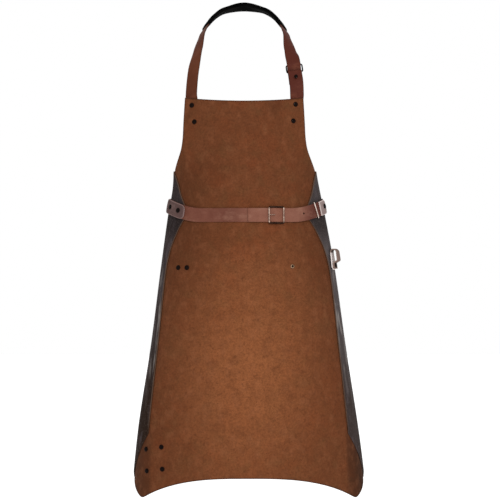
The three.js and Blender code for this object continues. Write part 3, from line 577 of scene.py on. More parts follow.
def neck_samples(steps=80):
    """Dense points, tangents, turns and distances along a centripetal curve through the rows."""
    rows = np.array(neck_anchors(-1)[::-1] + NECK_ROUTE + neck_anchors(1), dtype=float)
    places = rows[:, :3]
    padded = np.concatenate([[2 * places[0] - places[1]], places, [2 * places[-1] - places[-2]]])
    points, turns = [], []
    for i in range(len(places) - 1):
        p0, p1, p2, p3 = padded[i:i + 4]
        d0, d1, d2 = (math.sqrt(np.linalg.norm(q - p)) for p, q in ((p0, p1), (p1, p2), (p2, p3)))
        start = ((p1 - p0) / d0 - (p2 - p0) / (d0 + d1) + (p2 - p1) / d1) * d1
        end = ((p2 - p1) / d1 - (p3 - p1) / (d1 + d2) + (p3 - p2) / d2) * d1
        t = (np.arange(steps) / steps)[:, None]
        points.append(hermite(t, p1, start, p2, end))
        turns.append(lerp(rows[i, 3], rows[i + 1, 3], smoothstep(t[:, 0])))
    points = np.concatenate(points + [places[-1:]])
    turns = np.concatenate(turns + [rows[-1:, 3]])
    distance = distances_along(points)
    tangents = np.gradient(points, distance, axis=0)
    return points, tangents, np.radians(turns), distance


NECK_POINTS, NECK_TANGENTS, NECK_TURNS, NECK_DISTANCE = neck_samples()
NECK_LENGTH = NECK_DISTANCE[-1]
NECK_TOP = NECK_DISTANCE[np.argmax(NECK_POINTS[:, 0] > 0)]
ON_RIGHT = NECK_POINTS[:, 0] > NECK_BUCKLE_SIDE
NECK_BUCKLE = NECK_DISTANCE[np.argmax(ON_RIGHT & (NECK_POINTS[:, 2] < NECK_BUCKLE_LEVEL))]
LOWER_BAR = NECK_BUCKLE + (NECK_BUCKLE_ALONG - NECK_BUCKLE_BAR) / 2
UPPER_BAR = NECK_BUCKLE - (NECK_BUCKLE_ALONG - NECK_BUCKLE_BAR) / 2


# Carriers turn (along, lift, across) into points

def along_neck(table, along):
    return np.stack([np.interp(along, NECK_DISTANCE, table[:, i]) for i in range(3)], axis=-1)


def neck_carrier(along, lift, across):
    along, lift, across = as_grids(along, lift, across)
    turn = np.interp(along, NECK_DISTANCE, NECK_TURNS)[..., None]
    ahead = unit(along_neck(NECK_TANGENTS, along))
    aside = unit(np.cross(ahead, (0, -1, 0)))
    out = np.cross(aside, ahead)
    width = aside * np.cos(turn) + out * np.sin(turn)
    face = out * np.cos(turn) - aside * np.sin(turn)
    return along_neck(NECK_POINTS, along) + face * lift[..., None] + width * across[..., None]


BELT_ROUND = half_round(BELT_LEVEL)[0]
SIDE_EDGE_AT_BELT = float(column_at(SIDE_CUT, 1, BELT_LEVEL))


def belt_carrier(along, lift, across):
    along, lift, across = as_grids(along, lift, across)
    share = along / BELT_ROUND
    share = np.where(share < -1, share + 2, share)
    away = np.abs(share * BELT_ROUND)
    rise = BELT_RISE * smoothstep((away - BELT_RISE_FROM) / (BELT_RISE_TO - BELT_RISE_FROM))
    z = BELT_LEVEL + rise + across
    return form_points(share * half_round(z.ravel()).reshape(z.shape), z, lift)


def loop_carrier(along, lift, across):
    along, lift, across = as_grids(along, lift, across)
    z = LOOP_TOP - along
    front = form_points(LOOP_PLACE - STRAP_WIDTH / 2, z, lift)
    towards_back = unit(form_points(LOOP_PLACE + STRAP_WIDTH / 2, z, lift) - front)
    return form_points(LOOP_PLACE, z, lift) + towards_back * across[..., None]


def level_carrier(level, along, lift, across):
    return form_points(along, level + across, lift)


def seat(carrier, along, lift=0.0, across=0.0):
    """Matrix (in metres) at a place on a carrier: its axes go along, across and out."""
    ahead = carrier(along + SEAT_STEP, lift, across) - carrier(along - SEAT_STEP, lift, across)
    aside = carrier(along, lift, across + SEAT_STEP) - carrier(along, lift, across - SEAT_STEP)
    ahead = Vector(ahead).normalized()
    out = ahead.cross(Vector(aside).normalized()).normalized()
    axes = Matrix((ahead, out.cross(ahead), out)).transposed().to_4x4()
    return Matrix.Translation(Vector(carrier(along, lift, across)) * MM) @ axes


def form_seat(along, z):
    """Seat on the front panel's outer face."""
    return seat(partial(level_carrier, z), along)


# Finishes; places and radii in them are in metres

def colour(hex_code):
    """Linear colour from an sRGB hex code."""
    parts = [int(hex_code[i:i + 2], 16) / 255 for i in (1, 3, 5)]
    return (*(p / 12.92 if p <= 0.04045 else ((p + 0.055) / 1.055) ** 2.4 for p in parts), 1.0)


class Finish:
    """A principled material, its colour so far, and short ways to add nodes to it."""

    def __init__(self, name):
        self.material = bpy.data.materials.new(name)
        self.material.use_nodes = True
        self.tree = self.material.node_tree
        self.shader = self.tree.nodes["Principled BSDF"]
        self.place = self.tree.nodes.new("ShaderNodeTexCoord").outputs["Object"]
        self.base = None

    def link(self, source, target):
        """Links a socket to a target, or sets the target to a number or a hex colour."""
        if isinstance(target, str):
            target = self.shader.inputs[target]
        if hasattr(source, "is_linked"):
            self.tree.links.new(source, target)
        else:
            target.default_value = colour(source) if isinstance(source, str) else source

    def node(self, kind, output, inputs, **settings):
        """One output of a new node with the given settings and inputs."""
        node = self.tree.nodes.new("ShaderNode" + kind)
        for name, value in settings.items():
            setattr(node, name, value)
        for name, source in inputs.items():
            self.link(source, node.inputs[name])
        return node.outputs[output]

    def noise(self, scale, detail=3, roughness=0.5, place=None):
        inputs = {"Vector": place or self.place, "Scale": scale, "Detail": detail, "Roughness": roughness}
        return self.node("TexNoise", "Fac", inputs)

    def cells(self, scale):
        """Distance to the nearest edge between cells."""
        inputs = {"Vector": self.place, "Scale": scale}
        return self.node("TexVoronoi", "Distance", inputs, feature="DISTANCE_TO_EDGE")

    def attribute(self, name):
        return self.node("Attribute", "Fac", {}, attribute_name=name)

    def axis(self, letter):
        return self.node("SeparateXYZ", letter, {0: self.place})

    def math(self, operation, a, b=0.0):
        return self.node("Math", 0, {0: a, 1: b}, operation=operation)

    def times(self, a, b):
        return self.math("MULTIPLY", a, b)

    def span(self, value, low, high, to_low=0.0, to_high=1.0):
        """Eases from to_low to to_high while the value goes from low to high."""
        inputs = {"Value": value, "From Min": low, "From Max": high, "To Min": to_low, "To Max": to_high}
        return self.node("MapRange", "Result", inputs, interpolation_type="SMOOTHSTEP")

    def mix(self, share, a, b):
        return self.node("Mix", 2, {"Factor": share, 6: a, 7: b}, data_type="RGBA")

    def over(self, shade, share):
        """Lays a share of a colour over the colour so far."""
        self.base = self.mix(share, self.base, shade)

    def fleck(self, shade, value, low, high, share):
        """Lays a colour over the colour so far where a value is high."""
        self.over(shade, self.span(value, low, high, 0.0, share))

    def stretched(self, *scale, shift=(0, 0, 0)):
        return self.node("Mapping", "Vector", {"Vector": self.place, "Scale": scale, "Location": shift})

    def pool(self, centre, radii):
        """Soft spot in object space: 1 at its centre, 0 from its radii on."""
        scale = [1 / radius for radius in radii]
        shift = [-c / radius for c, radius in zip(centre, radii)]
        place = self.stretched(*scale, shift=shift)
        gradient = self.node("TexGradient", "Fac", {"Vector": place}, gradient_type="SPHERICAL")
        return self.span(gradient, 0.0, 1.0)

    def bump(self, height, distance, strength, below=None):
        inputs = {"Strength": strength, "Distance": distance, "Height": height}
        if below is not None:
            inputs["Normal"] = below
        return self.node("Bump", "Normal", inputs)

    def done(self, roughness, shine, normal):
        """The material, with the colour so far and these values."""
        self.link(self.base, "Base Color")
        self.link(roughness, "Roughness")
        self.link(shine, "Specular IOR Level")
        self.link(normal, "Normal")
        return self.material


def suede_finish():
    f = Finish("suede")
    patches = f.noise(48, 4, 0.6)
    grain = f.noise(240, 6, 0.7)
    nap = f.noise(650, 3, 0.65)
    height = f.axis("Z")
    f.base = f.mix(f.span(f.noise(7, 5, 0.6), 0.3, 0.7), "#5d331d", "#673c24")
    f.fleck("#573a22", f.noise(31, 4, 0.6), 0.45, 0.7, 0.5)
    f.fleck("#6a361e", f.noise(22, 4, 0.6), 0.45, 0.7, 0.5)

    # Painted shade: darker towards the sides below the bib, most of all at the waist, and a little on the
    # bib
    aside = f.span(f.math("ABSOLUTE", f.math("SUBTRACT", f.axis("X"), 0.025)), 0.03, 0.2)
    aside = f.times(aside, f.span(height, -0.42, -0.33, 1.0, 0.25))
    f.over("#4a2917", f.times(aside, f.span(height, -1.1, -0.5, 0.3, 0.6)))
    f.over("#3f2213", f.times(aside, f.span(height, -0.72, -0.5, 0.0, 0.45)))
    f.fleck("#4a2917", height, -0.5, -0.36, 0.15)

    # Painted light, paler on the lap, and a painted shadow spot at the bib's top
    f.over("#844f2f", f.times(f.pool((0.01, -0.17, -0.83), (0.23, 1.0, 0.39)), 0.8))
    f.over("#3a2013", f.times(f.pool((0.068, -0.14, -0.239), (0.03, 0.3, 0.035)), 0.45))

    # Painted shade on the turned hem corners, deeper on the right, by the distance from the middle in
    # millimetres
    from_middle = f.math("ABSOLUTE", f.attribute("along"))
    corner = f.times(f.span(from_middle, 219, 229), f.span(from_middle, 225, 290, 0.6, 1.0))
    corner = f.times(corner, f.span(height, -0.99, -0.93, 1.0, 0.0))
    f.over("#22150f", f.times(corner, f.span(f.axis("X"), -0.1, 0.1, 0.7, 0.95)))

    # Patches, grain, specks, upright and level fibres, fine cracks and the rim
    f.fleck("#4c2a18", patches, 0.4, 0.75, 0.35)
    f.fleck("#3a2012", grain, 0.35, 0.65, 0.35)
    f.fleck("#3f2011", f.noise(130, 2, 0.5), 0.58, 0.72, 0.3)
    f.fleck("#86553a", f.noise(60, 5, 0.65, f.stretched(1, 1, 0.7)), 0.45, 0.75, 0.2)
    f.fleck("#4a2715", f.noise(90, 5, 0.7, f.stretched(0.5, 1, 1)), 0.48, 0.72, 0.25)
    f.over("#2e180c", f.span(f.cells(120), 0.0, 0.08, 0.1, 0.0))
    f.over("#26150e", f.span(f.attribute("rim"), 0.0, 4.0, 0.5, 0.0))

    f.link(0.03, "Sheen Weight")
    f.link("#b98a6a", "Sheen Tint")
    f.link(0.5, "Sheen Roughness")
    normal = f.bump(nap, 0.0004, 0.5, f.bump(grain, 0.0006, 0.3, f.bump(patches, 0.001, 0.3)))
    return f.done(f.span(nap, 0.3, 0.7, 0.85, 0.98), 0.04, normal)


def side_finish():
    f = Finish("dark_leather")
    scuff_and_highlight_streaks = f.noise(75, 6, 0.65, f.stretched(1, 1, 0.08))
    specks = f.noise(320, 4, 0.7)
    height = f.axis("Z")
    # Darker towards the lower end, and the right panel painted lighter and greyer than the left as painted
    # light from the right
    upwards = f.span(height, -0.95, -0.6)
    left = f.mix(upwards, "#21160f", "#312a2b")
    right = f.mix(upwards, "#332b29", "#464040")
    f.base = f.mix(f.span(f.axis("X"), -0.1, 0.1), left, right)
    f.fleck("#241a17", f.noise(8, 5, 0.6), 0.4, 0.7, 0.4)

    # Painted highlight streaks at mid height, paler on the right, painted sheen streaks, a painted shadow
    # band at the belt, specks and the rim
    painted_highlight = f.times(f.span(scuff_and_highlight_streaks, 0.47, 0.68), f.pool((0.0, -0.12, -0.73), (1.0, 1.0, 0.23)))
    f.over("#8d8681", f.times(painted_highlight, f.span(f.axis("X"), -0.1, 0.1, 0.6, 0.75)))
    # Painted sheen: paler upright streaks
    f.fleck("#6b6266", f.noise(30, 5, 0.7, f.stretched(1, 1, 0.3)), 0.5, 0.75, 0.4)
    # Painted shadow in a band under and behind the belt
    painted_belt_shadow = f.times(f.span(height, -0.57, -0.5, 0.0, 0.75), f.span(height, -0.48, -0.44, 1.0, 0.4))
    f.over("#1c1615", painted_belt_shadow)
    f.fleck("#6a5f5a", specks, 0.5, 0.75, 0.3)
    f.over("#7a5a48", f.span(f.attribute("rim"), 0.0, 2.0, 0.15, 0.0))
    normal = f.bump(specks, 0.0003, 0.3, f.bump(f.cells(650), 0.0004, 0.3))
    return f.done(f.span(scuff_and_highlight_streaks, 0.3, 0.75, 0.7, 0.55), 0.01, normal)


def edge_finish(name, scale, deep, pale, roughness, shine, low_end_shade=None):
    """Fibrous cut edge; the last argument is a painted shade colour for the side panels' lower ends."""
    f = Finish(name)
    fibres = f.noise(scale)
    f.base = f.mix(fibres, deep, pale)
    if low_end_shade:
        f.over(low_end_shade, f.span(f.axis("Z"), -0.98, -0.92, 1.0, 0.0))
    return f.done(roughness, shine, f.bump(fibres, 0.0003, 0.5))


def strap_finish(name, pale, deep, rubbed_and_sheen, edge, edge_share, shine, shifts=(), first=None):
    """Strap leather.

    Each shift is a colour that takes over between two places along X. First is a distance in millimetres
    from the strap's first end, with a colour of its own up to there.
    """
    f = Finish(name)
    streaks = f.noise(90, 4, 0.6)
    f.base = f.mix(f.span(f.noise(16, 4, 0.6), 0.3, 0.7), deep, pale)
    for low, high, shade in shifts:
        f.fleck(shade, f.axis("X"), low, high, 1.0)
    f.fleck(deep, streaks, 0.45, 0.8, 0.35)
    # Paler stretched mottling, partly rubbed wear and partly painted sheen
    f.fleck(rubbed_and_sheen, f.noise(38, 6, 0.7, f.stretched(0.6, 1, 1)), 0.5, 0.75, 0.45)
    f.over(edge, f.span(f.attribute("rim"), 0.0, 2.2, edge_share, 0.0))
    if first:
        reach, shade = first
        f.over(shade, f.span(f.attribute("run"), reach - 2, reach + 2, 1.0, 0.0))
    normal = f.bump(f.cells(800), 0.0003, 0.3, f.bump(streaks, 0.0005, 0.3))
    return f.done(f.span(streaks, 0.3, 0.8, 0.45, 0.6), shine, normal)


def pad_finish():
    f = Finish("pad_cover")
    wrinkles = f.noise(45, 4, 0.6, f.stretched(0.35, 1, 1))
    # Paler on the wrinkles' raised crests, as a painted highlight
    f.base = f.mix(f.span(wrinkles, 0.35, 0.7), "#020202", "#090808")
    normal = f.bump(f.noise(1300, 2), 0.0002, 0.3, f.bump(wrinkles, 0.002, 0.5))
    return f.done(f.span(wrinkles, 0.3, 0.7, 0.55, 0.75), 0.008, normal)


def metal_finish(name, pale, deep, roughness, lacquer=None):
    """Worn bare metal, or metal under an opaque lacquer with a clear coat of this weight."""
    f = Finish(name)
    wear = f.noise(180, 4, 0.6)
    f.base = f.mix(f.span(wear, 0.35, 0.7), deep, pale)
    if lacquer:
        f.link(lacquer, "Coat Weight")
        f.link(0.12, "Coat Roughness")
    else:
        f.link(1.0, "Metallic")
    normal = f.bump(f.noise(900, 2), 0.0001, 0.3)
    shine = 0.01 if lacquer else 0.5
    return f.done(f.span(wear, 0.3, 0.7, roughness, roughness + 0.15), shine, normal)


SUEDE = suede_finish()
SUEDE_EDGE = edge_finish("suede_cut_edge", 600, "#22130c", "#3d2518", 0.85, 0.05)
SIDE = side_finish()
SIDE_EDGE = edge_finish("dark_leather_cut_edge", 500, "#403026", "#564134", 0.8, 0.01, "#1f1511")
# The last shift is a painted shade on the belt's right end, where it turns away round the side
BELT_LEATHER = strap_finish(
    "belt_leather", "#633a2d", "#562f23", "#86604f", edge="#2a1511", edge_share=0.15, shine=0.1,
    shifts=[(-0.04, 0.04, "#704637"), (0.08, 0.12, "#6e4638"), (0.115, 0.16, "#4a241c")])
NECK_LEATHER = strap_finish(
    "neck_leather", "#552e1e", "#472416", "#6d412f", edge="#20100c", edge_share=0.5, shine=0.03,
    shifts=[(-0.05, 0.09, "#48221a")])
TAB_LEATHER = strap_finish(
    "tab_leather", "#5e4844", "#483735", "#77625d", edge="#8b7470", edge_share=0.6, shine=0.01)
# Painted reflection: the right tab is painted pale, with a paler rim, for the light from the right at a
# grazing angle
PALE_LEATHER = strap_finish(
    "pale_leather", "#847370", "#6e5f5c", "#9c8c88", edge="#cbbdb8", edge_share=0.8, shine=0.01)
# Painted light: the loop's inner leg, up to 38 mm from its tip, is near-white
LOOP_LEATHER = strap_finish(
    "loop_leather", "#6e5a52", "#5c4b44", "#83706a", edge="#8a766d", edge_share=0.6, shine=0.01,
    first=(38.0, "#e4d8d4"))
PAD_COVER = pad_finish()
DARK_METAL = metal_finish("dark_metal", "#130a08", "#080403", 0.4, lacquer=0.05)
BLACK_METAL = metal_finish("black_metal", "#0b0808", "#040303", 0.4, lacquer=0.04)
BRIGHT_METAL = metal_finish("bright_metal", "#e6d6cc", "#b8a59a", 0.2)
BUCKLE_METAL = metal_finish("buckle_metal", "#a58f82", "#6b564b", 0.3)
# Darker copy of the buckle metal for its flanks and upper and lower bars, as painted shade
SHADED_BUCKLE_METAL = metal_finish("buckle_shaded_metal", "#2e2019", "#160d0a", 0.35)
STUD_METAL = metal_finish("stud_metal", "#8c715c", "#54412f", 0.35)


def finish_piece(piece, node, slot, *materials):
    for material in materials:
        piece.data.materials.append(material)
    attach(piece, "root")
    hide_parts(node)


# Panels

def edge_of_front(z):
    return column_at(FRONT_CUT, 1, z)


def top_of_bib(along):
    return BIB_TOP - BIB_DIP + BIB_DIP * (along / BIB_EDGE) ** 2


def hem_at(along):
    distance = np.abs(along)
    falling = HEM_MIDDLE - HEM_DROP * (distance / HEM_TIP) ** 3
    rising = HEM_MIDDLE - HEM_DROP + HEM_RISE * (distance - HEM_TIP)
    return (falling + rising + np.hypot(falling - rising, HEM_TIP_ROUND)) / 2


def with_edges(count, inset):
    """Even steps from 0 to 1 with one more close to each end."""
    return np.concatenate([[0, inset], np.linspace(0, 1, count)[1:-1], [1 - inset, 1]])


def front_panel():
    down = with_edges(*FRONT_DOWN)[:, None]
    share = 2 * with_edges(*FRONT_ACROSS)[None, :] - 1
    edge = edge_of_front(lerp(BIB_TOP, hem_at(HEM_EDGE), down))
    along = share * edge
    top = top_of_bib(share * BIB_EDGE)
    hem = hem_at(share * HEM_EDGE)
    z = lerp(top, hem, down)
    rim = np.minimum((1 - np.abs(share)) * edge, np.minimum(down, 1 - down) * (top - hem))
    outer = form_points(along, z, 0)
    inner = form_points(along, z, -FRONT_THICK)
    piece = sheet("suede_front", outer, inner, rim, along)
    finish_piece(piece, "front_panel", "suede_leather", SUEDE, SUEDE_EDGE)


def armhole_at(along):
    levels = np.linspace(SIDE_BACK_TOP[0], BIB_TOP, ARMHOLE_STEPS)
    return np.interp(-along, -edge_of_front(levels), levels)


def side_panel(side, name, node):
    """Dark panel on a turned side, pared thin at its lower end."""
    down = with_edges(*SIDE_DOWN)[:, None]
    share = with_edges(*SIDE_ACROSS)[None, :]
    first, last = SIDE_CUT[0], SIDE_CUT[-1]
    top = armhole_at(lerp(first[1], SIDE_BACK_TOP[1] - SIDE_INSET, share)) - SIDE_INSET
    low = lerp(last[1], HEM_EDGE - SIDE_INSET, share)
    end = np.maximum(last[0] - SIDE_SLANT * (low - last[1]), hem_at(low) + SIDE_INSET)
    front = column_at(SIDE_CUT, 1, lerp(first[0], last[0], down))
    back = edge_of_front(lerp(SIDE_BACK_TOP[0], hem_at(HEM_EDGE), down)) - SIDE_INSET
    along = lerp(front, back, share)
    z = lerp(top, end, down)
    to_edge = np.minimum(share, 1 - share) * (back - front)
    rim = np.minimum(to_edge, np.minimum(down, 1 - down) * (top - end))
    pared = smoothstep((1 - down) * (top - end) / SIDE_SKIVE)
    outer = form_points(side * along, z, lerp(SIDE_SKIVED, SHEET_GAP + SIDE_THICK, pared))
    inner = form_points(side * along, z, SIDE_LIE)
    piece = sheet(name, outer, inner, rim, side * along)
    finish_piece(piece, node, "dark_leather", SIDE, SIDE_EDGE)


# Straps and pad

def neck_strap_long():
    under_fold = FOLD_RADIUS + 2 * NECK_BAR_FIT + STRAP_THICK
    lean = math.asin((FOLD_RADIUS + under_fold) / (LOWER_BAR - UPPER_BAR))
    tail = -FOLD_RADIUS - under_fold
    on_bars = [(bar + reach * math.sin(lean), reach * math.cos(lean) - FOLD_RADIUS)
               for bar, reach in ((UPPER_BAR, FOLD_RADIUS), (LOWER_BAR, -under_fold))]
    path = np.concatenate([
        eased([(0, 0), (UPPER_BAR - NECK_BUCKLE_BAR, 0)], STRAP_STEP),
        on_bars,
        eased([(LOWER_BAR + 2 * NECK_BUCKLE_BAR, tail),
               (LOWER_BAR + NECK_FOLD_RIVET - CAP_RADIUS, tail - NECK_TAIL_DROP),
               (LOWER_BAR + NECK_TAIL, tail - NECK_TAIL_DROP)], STRAP_STEP),
    ])
    strap("long_neck_strap", "neck_strap_long", NECK_LEATHER, neck_carrier, path)


def neck_strap_short():
    behind = -2 * FOLD_RADIUS
    path = np.concatenate([
        eased([(NECK_LENGTH, 0), (LOWER_BAR + TURN_LEAD, 0)], STRAP_STEP),
        half_turn(LOWER_BAR, -FOLD_RADIUS, FOLD_RADIUS)[::-1],
        eased([(LOWER_BAR + TURN_LEAD, behind), (LOWER_BAR + NECK_FOLD_END, behind)], STRAP_STEP),
    ])
    strap("short_neck_strap", "neck_strap_short", NECK_LEATHER, neck_carrier, path)


def neck_pad():
    start, end = NECK_TOP - PAD_LEFT, NECK_TOP + PAD_RIGHT
    along = np.linspace(start, end, PAD_STATIONS)[:, None]
    around = 2 * np.pi * (np.arange(PAD_SIDES) + 0.5)[None, :] / PAD_SIDES
    to_end = np.minimum(along - start, end - along)
    near_end = smoothstep(to_end / PAD_END_LENGTH)
    soft = np.sqrt(1 - (1 - np.clip(to_end / PAD_SOFT_END, 0, 1)) ** 2)
    swell = lerp(PAD_END_SHARE, 1.0, near_end) * lerp(PAD_SOFT_SHARE, 1.0, soft)
    side, out = np.cos(around), np.sin(around)
    across = np.sign(side) * np.abs(side) ** PAD_SQUARENESS * PAD_WIDTH / 2
    sway = PAD_RIB_SWAY * np.sin(along / PAD_RIB_LENGTH)
    ribs = np.sin(across * PAD_RIB_TURN + sway) * PAD_RIB_HEIGHT
    creases = np.sin(along / PAD_CREASE_LENGTH + across / PAD_CREASE_SLANT) * PAD_CREASE_HEIGHT
    height = np.sign(out) * np.abs(out) ** PAD_SQUARENESS * PAD_THICK / 2 * swell
    lift = height + np.sign(out) * (ribs + creases) * near_end * np.abs(out)
    piece = loft("soft_pad", neck_carrier(along, lift, across))
    finish_piece(piece, "neck_pad", "pad_cover", PAD_COVER)


def belt_strap():
    again = -2 * BELT_ROUND
    buckle = again + BUCKLE_PLACE
    rows = [
        (BUCKLE_PLACE - BELT_END, BELT_LIE),
        (CLIMB_FROM - SIDE_EDGE_AT_BELT, BELT_LIE),
        (CLIMB_TO - SIDE_EDGE_AT_BELT, BELT_OVER_SIDE),
        (again + TAB_BACK, BELT_OVER_SIDE),
        (again + KEPT_TO, KEEPER_LIFT),
        (again + KEPT_FROM, KEEPER_LIFT),
        (buckle + HALF_BUCKLE + BUCKLE_CLIMB_FROM, OVER_STRAP),
        (buckle + HALF_BUCKLE - BUCKLE_CLIMB_TO, OVER_STRAP),
        (buckle, OVER_CENTRE),
        (buckle - HALF_BUCKLE + BUCKLE_CLIMB_TO, OVER_STRAP),
        (buckle - BELT_TAIL, OVER_STRAP),
    ]
    path = eased(rows, STRAP_STEP)
    strap("waist_belt", "belt_strap", BELT_LEATHER, belt_carrier, path, hole=BELT_HOLE)


def belt_tabs():
    left = BELT_OVER_SIDE + OVER_BELT
    path = eased([(-TAB_LEFT_FRONT, left), (-TAB_BACK, left)], END_STEP)
    strap("left_belt_tab", "belt_tab_left", TAB_LEATHER, belt_carrier, path, TAB_LEFT_ROUND, TAB_LEFT_ROUND)
    right = KEEPER_LIFT + OVER_BELT
    path = eased([(TAB_RIGHT_FRONT, right), (KEPT_TO, right), (TAB_BACK, left)], END_STEP)
    path = path[path[:, 0] <= TAB_RIGHT_BACK]
    strap("right_belt_tab", "belt_tab_right", PALE_LEATHER, belt_carrier, path, last_round=TAB_RIGHT_ROUND)


def side_loop():
    radius = (LOOP_REACH - STRAP_THICK) / 2
    fold = LOOP_REACH / 2
    outer = LOOP_LIE + 2 * radius
    together = LOOP_LIE + OVER_BELT
    tip_end = (LOOP_TIP - LOOP_TIP_ROUND[0], LOOP_LIE)
    path = np.concatenate([
        eased([(LOOP_TIP, LOOP_LIE), tip_end], END_STEP)[:-1],
        eased([tip_end, (fold + TURN_LEAD, LOOP_LIE)], STRAP_STEP),
        half_turn(fold, LOOP_LIE + radius, radius),
        eased([(fold + TURN_LEAD, outer), (LOOP_BEND_FROM, outer), (LOOP_BEND_TO, together),
               (LOOP_END, together)], END_STEP),
    ])
    strap("tool_loop", "side_loop", LOOP_LEATHER, loop_carrier, path, first_round=LOOP_TIP_ROUND)


# Metal

def rounded_rectangle(width, height, radius, steps):
    points = []
    for x, y, turn in ((1, -1, -0.5), (1, 1, 0.0), (-1, 1, 0.5), (-1, -1, 1.0)):
        angle = np.pi * (turn + np.arange(steps + 1) / (2 * steps))
        centre = np.array([x * (width / 2 - radius), y * (height / 2 - radius)])
        points.append(centre + radius * np.stack([np.cos(angle), np.sin(angle)], axis=1))
    return np.concatenate(points)


def wire_frame(name, along, across, bar, thick, corner):
    """Closed frame of a softened flat bar, lying in its own plane, in millimetres."""
    path = rounded_rectangle(along - bar, across - bar, corner, CORNER_STEPS)
    ahead = unit(np.roll(path, -1, axis=0) - np.roll(path, 1, axis=0))
    out = np.stack([ahead[:, 1], -ahead[:, 0]], axis=1)
    section = rounded_rectangle(bar, thick, min(bar, thick) * BAR_ROUND, BAR_STEPS)
    rings = np.empty((len(path), len(section), 3))
    rings[:, :, :2] = path[:, None, :] + out[:, None, :] * section[None, :, :1]
    rings[:, :, 2] = section[None, :, 1]
    return loft(name, rings, closed=True)


def turned(name, profile, sides=32):
    """Solid of revolution about Z from (radius, height) rows that start and end on the axis."""
    angle = 2 * np.pi * np.arange(sides) / sides
    inner = profile[1:-1]
    rings = np.array([[(r * np.cos(a), r * np.sin(a), h) for a in angle] for r, h in inner])
    points = np.concatenate([rings.reshape(-1, 3), [(0, 0, profile[0][1]), (0, 0, profile[-1][1])]])
    index = np.arange(len(inner) * sides).reshape(len(inner), sides)
    faces = np.stack([index[:-1], np.roll(index[:-1], -1, 1), np.roll(index[1:], -1, 1), index[1:]], -1)
    faces = faces.reshape(-1, 4).tolist()
    bottom, top = len(inner) * sides, len(inner) * sides + 1
    for j in range(sides):
        k = (j + 1) % sides
        faces.append([bottom, int(index[0, k]), int(index[0, j])])
        faces.append([top, int(index[-1, j]), int(index[-1, k])])
    piece = add_mesh(name, points, faces)
    face_out(piece)
    return piece


def rod(name, start, end, radius, sides=16):
    """Round rod with domed ends between two points in millimetres."""
    start, end = Vector(start), Vector(end)
    length = (end - start).length
    dome = [(radius * math.sin(a), -radius * ROD_DOME * math.cos(a))
            for a in np.linspace(0, math.pi / 2, ROD_DOME_STEPS)]
    piece = turned(name, dome + [(r, length - h) for r, h in reversed(dome)], sides)
    direction = (end - start).to_track_quat("Z", "Y").to_matrix().to_4x4()
    piece.data.transform(Matrix.Translation(start * MM) @ direction)
    return piece


def drill(piece, matrix, radius):
    """Cuts a round hole through a piece, along the seat's out axis."""
    tool = rod("drill", (0, 0, -DRILL_REACH), (0, 0, DRILL_REACH), radius)
    tool.data.transform(matrix)
    cutter = piece.modifiers.new("hole", "BOOLEAN")
    cutter.operation = "DIFFERENCE"
    cutter.solver = "EXACT"
    cutter.object = tool
    depsgraph = bpy.context.evaluated_depsgraph_get()
    mesh = bpy.data.meshes.new_from_object(piece.evaluated_get(depsgraph))
    piece.modifiers.clear()
    piece.data = mesh
    bpy.data.objects.remove(tool)


def joined(name, pieces):
    """One piece from several, by a joined mesh that keeps their material slots."""
    points, faces, slots, start = [], [], [], 0
    for piece in pieces:
        mesh = piece.data
        points.extend(vertex.co[:] for vertex in mesh.vertices)
        faces.extend([start + v for v in polygon.vertices] for polygon in mesh.polygons)
        slots.extend(polygon.material_index for polygon in mesh.polygons)
        start = len(points)
        bpy.data.objects.remove(piece)
    piece = add_mesh(name, np.array(points) / MM, faces)
    piece.data.polygons.foreach_set("material_index", slots)
    return piece


def neck_buckle():
    piece = wire_frame("neck_buckle_frame", NECK_BUCKLE_ALONG, NECK_BUCKLE_ACROSS, NECK_BUCKLE_BAR,
                       NECK_BUCKLE_THICK, NECK_BUCKLE_CORNER)
    piece.data.transform(seat(neck_carrier, NECK_BUCKLE, -FOLD_RADIUS, NECK_BUCKLE_SHIFT))
    finish_piece(piece, "neck_buckle", "dark_metal", BLACK_METAL)


def belt_buckle():
    """Frame, centre bar and its posts; the frame's flanks and its upper and lower bars take a darker metal
    as painted shade.
    """
    frame_piece = wire_frame("frame", BUCKLE_ALONG, BUCKLE_ACROSS, BUCKLE_BAR,
                             BUCKLE_THICK, BUCKLE_CORNER)
    upright = (BUCKLE_ACROSS / 2 - BUCKLE_BAR) * MM
    for polygon in frame_piece.data.polygons:
        if polygon.normal.z < FRAME_FACE or abs(polygon.center.y) > upright:
            polygon.material_index = 1
    reach = (BUCKLE_ACROSS - BUCKLE_BAR) / 2
    low = CENTRE_LIFT - FRAME_LIFT
    bar = rod("bar", (0, -reach, low), (0, reach, low), CENTRE_BAR / 2)
    posts = [rod("post", (0, end * reach, low), (0, end * reach, 0), CENTRE_BAR / 2) for end in (-1, 1)]
    piece = joined("belt_buckle_frame", [frame_piece, bar, *posts])
    piece.data.transform(seat(belt_carrier, BUCKLE_PLACE, FRAME_LIFT))
    finish_piece(piece, "belt_buckle", "bright_metal", BUCKLE_METAL, SHADED_BUCKLE_METAL)


def belt_prong():
    reach = PRONG_PLACE - (BUCKLE_PLACE - HALF_BUCKLE + BUCKLE_BAR / 2)
    height = FRAME_LIFT + BUCKLE_THICK / 2 + CAP_FIT + PRONG_RADIUS
    pin = rod("pin", (0, 0, height), (-reach, 0, height), PRONG_RADIUS)
    foot = rod("foot", (0, 0, height), (0, 0, CENTRE_LIFT + CENTRE_BAR / 2), PRONG_RADIUS)
    piece = joined("belt_buckle_prong", [pin, foot])
    piece.data.transform(seat(belt_carrier, PRONG_PLACE))
    finish_piece(piece, "belt_prong", "bright_metal", BUCKLE_METAL)


